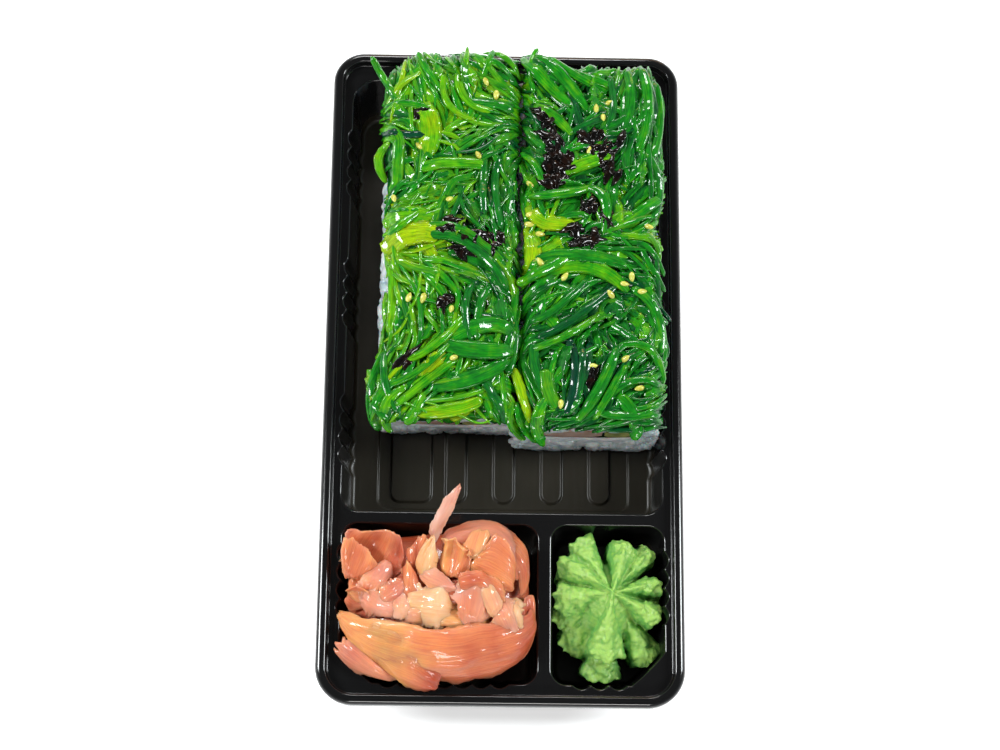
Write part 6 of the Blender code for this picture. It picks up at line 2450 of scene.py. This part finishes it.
@dataclass
class Studio:
    """A plain pale floor under soft lamps, dark overhead, so that the black tray stays black."""

    floor: PaleFloor = PaleFloor()
    reach: float = 3.0
    lines: int = 9
    lamps: tuple[Softbox, ...] = (
        Softbox((-0.95, 0.05, 0.85), (0.22, 0.5), 12.4, (0.95, 0.985, 1.0)),
        Softbox((0.95, 0.10, 0.85), (0.22, 0.5), 12.0, (0.93, 0.98, 1.0)),
        Softbox((0.0, -1.15, 0.85), (0.5, 0.2), 5.6, (1.0, 0.98, 0.95)),
        Softbox((-0.1, 1.15, 0.95), (0.5, 0.2), 7.0),
        Softbox((0.15, 0.9, 0.26), (0.5, 0.05), 0.9, (1.0, 0.5, 0.16)),
    )
    world: Triple = (0.95, 0.97, 1.0)

    def make_lamp(self, number: int, lamp: Softbox) -> None:
        """A rectangular lamp that faces the tray.

        Args:
            number: The lamp's number.
            lamp: The lamp.
        """
        light = bpy.data.lights.new(f"softbox_{number}", "AREA")
        light.shape = "RECTANGLE"
        light.size, light.size_y = lamp.size
        light.energy = lamp.power
        light.color = lamp.colour
        item = bpy.data.objects.new(f"softbox_{number}", light)
        item.location = lamp.place
        item.rotation_euler = (-Vector(lamp.place)).to_track_quat("-Z", "Y").to_euler()
        bpy.context.scene.collection.objects.link(item)

    def make_floor(self) -> None:
        """The floor: a flat grid of quads at the tray's foot."""
        u, v = shares(self.lines, self.lines, low=-1.0)
        points = np.stack([u * self.reach, v * self.reach, np.zeros_like(u)], -1).reshape(-1, 3)
        mesh = bpy.data.meshes.new("pale_floor")
        mesh.from_pydata(points.tolist(), [], grid_quads(self.lines, self.lines).tolist())
        mesh.materials.append(self.floor.material())
        item = bpy.data.objects.new("pale_floor", mesh)
        bpy.context.scene.collection.objects.link(item)

    def make_sky(self) -> None:
        """Even light from all round that fades to dark overhead."""
        world = bpy.data.worlds.new("studio")
        world.use_nodes = True
        bpy.context.scene.world = world
        tree = world.node_tree
        where = tree.nodes.new("ShaderNodeTexCoord")
        split = tree.nodes.new("ShaderNodeSeparateXYZ")
        fade = tree.nodes.new("ShaderNodeMapRange")
        tree.links.new(where.outputs["Generated"], split.inputs["Vector"])
        tree.links.new(split.outputs["Z"], fade.inputs["Value"])
        for key, number in (("From Min", 0.2), ("From Max", 0.75), ("To Min", 0.6), ("To Max", 0.06)):
            fade.inputs[key].default_value = number
        background = tree.nodes["Background"]
        background.inputs["Color"].default_value = (*self.world, 1.0)
        tree.links.new(fade.outputs["Result"], background.inputs["Strength"])

    def build(self) -> None:
        """Builds the floor, the lamps and the sky."""
        self.make_floor()
        for number, lamp in enumerate(self.lamps):
            self.make_lamp(number, lamp)
        self.make_sky()
        bpy.context.scene.view_settings.view_transform = "Standard"
        LOG.info("studio built")


@dataclass(frozen=True)
class PhotoCamera:
    """The camera at the photograph's angle, in degrees and millimetres."""

    azimuth: float = 3.0
    elevation: float = 76.0
    roll: float = 3.691
    distance: float = 550.435
    target: Triple = (-0.942, -2.460, 24.0)
    focal_pixels: float = 1930.8
    frame_width: float = 1000.0
    sensor: float = 36.0

    def build(self) -> None:
        """Sets up the camera: it looks along its back vector, and is rolled about it."""
        azimuth, elevation, roll = (math.radians(a) for a in (self.azimuth, self.elevation, self.roll))
        level = math.cos(elevation)
        back = Vector((-level * math.sin(azimuth), -level * math.cos(azimuth), math.sin(elevation)))
        right = Vector((math.cos(azimuth), -math.sin(azimuth), 0.0))
        up = back.cross(right)
        turned_right = right * math.cos(roll) + up * math.sin(roll)
        turned_up = up * math.cos(roll) - right * math.sin(roll)
        camera = bpy.data.cameras.new("photo_camera")
        camera.sensor_width = self.sensor
        camera.lens = self.sensor * self.focal_pixels / self.frame_width
        camera.clip_start = 0.01
        item = bpy.data.objects.new("photo_camera", camera)
        turn = Matrix((turned_right, turned_up, back)).transposed().to_4x4()
        turn.translation = (Vector(self.target) + back * self.distance) * MM
        item.matrix_world = turn
        bpy.context.scene.collection.objects.link(item)
        bpy.context.scene.camera = item
        LOG.info("camera set")


def main() -> None:
    """Builds the tray, its food, the studio and the camera."""
    logging.basicConfig(level=logging.INFO, format="%(message)s")
    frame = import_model()
    PhotoCamera().build()
    Studio().build()
    Tray().build()
    rice = CookedRice().material()
    Row(Side.LEFT, -37.0, -14.6, 1.5, LEFT_DRAWN_IN).build(rice)
    Row(Side.RIGHT, 3.8, -19.1, -0.4, RIGHT_DRAWN_IN).build(rice)
    dress_fillings(frame["nodes"])
    weed, fungus, sesame = WetSeaweed().material(), DarkFungus().material(), SesameSeed().material()
    left = (LEFT_OUTLINE, LEFT_LIES, LEFT_TINTS, LEFT_STRIPS, LEFT_FLAKES, LEFT_SEEDS, 0.34)
    right = (RIGHT_OUTLINE, RIGHT_LIES, RIGHT_TINTS, RIGHT_STRIPS, RIGHT_FLAKES, RIGHT_SEEDS, 0.22)
    SaladBed(Side.LEFT, *left).build(weed, fungus, sesame)
    SaladBed(Side.RIGHT, *right).build(weed, fungus, sesame)
    GingerHeap().build()
    WasabiRosette().build()
    bpy.context.view_layer.update()


if __name__ == "__main__":
    main()
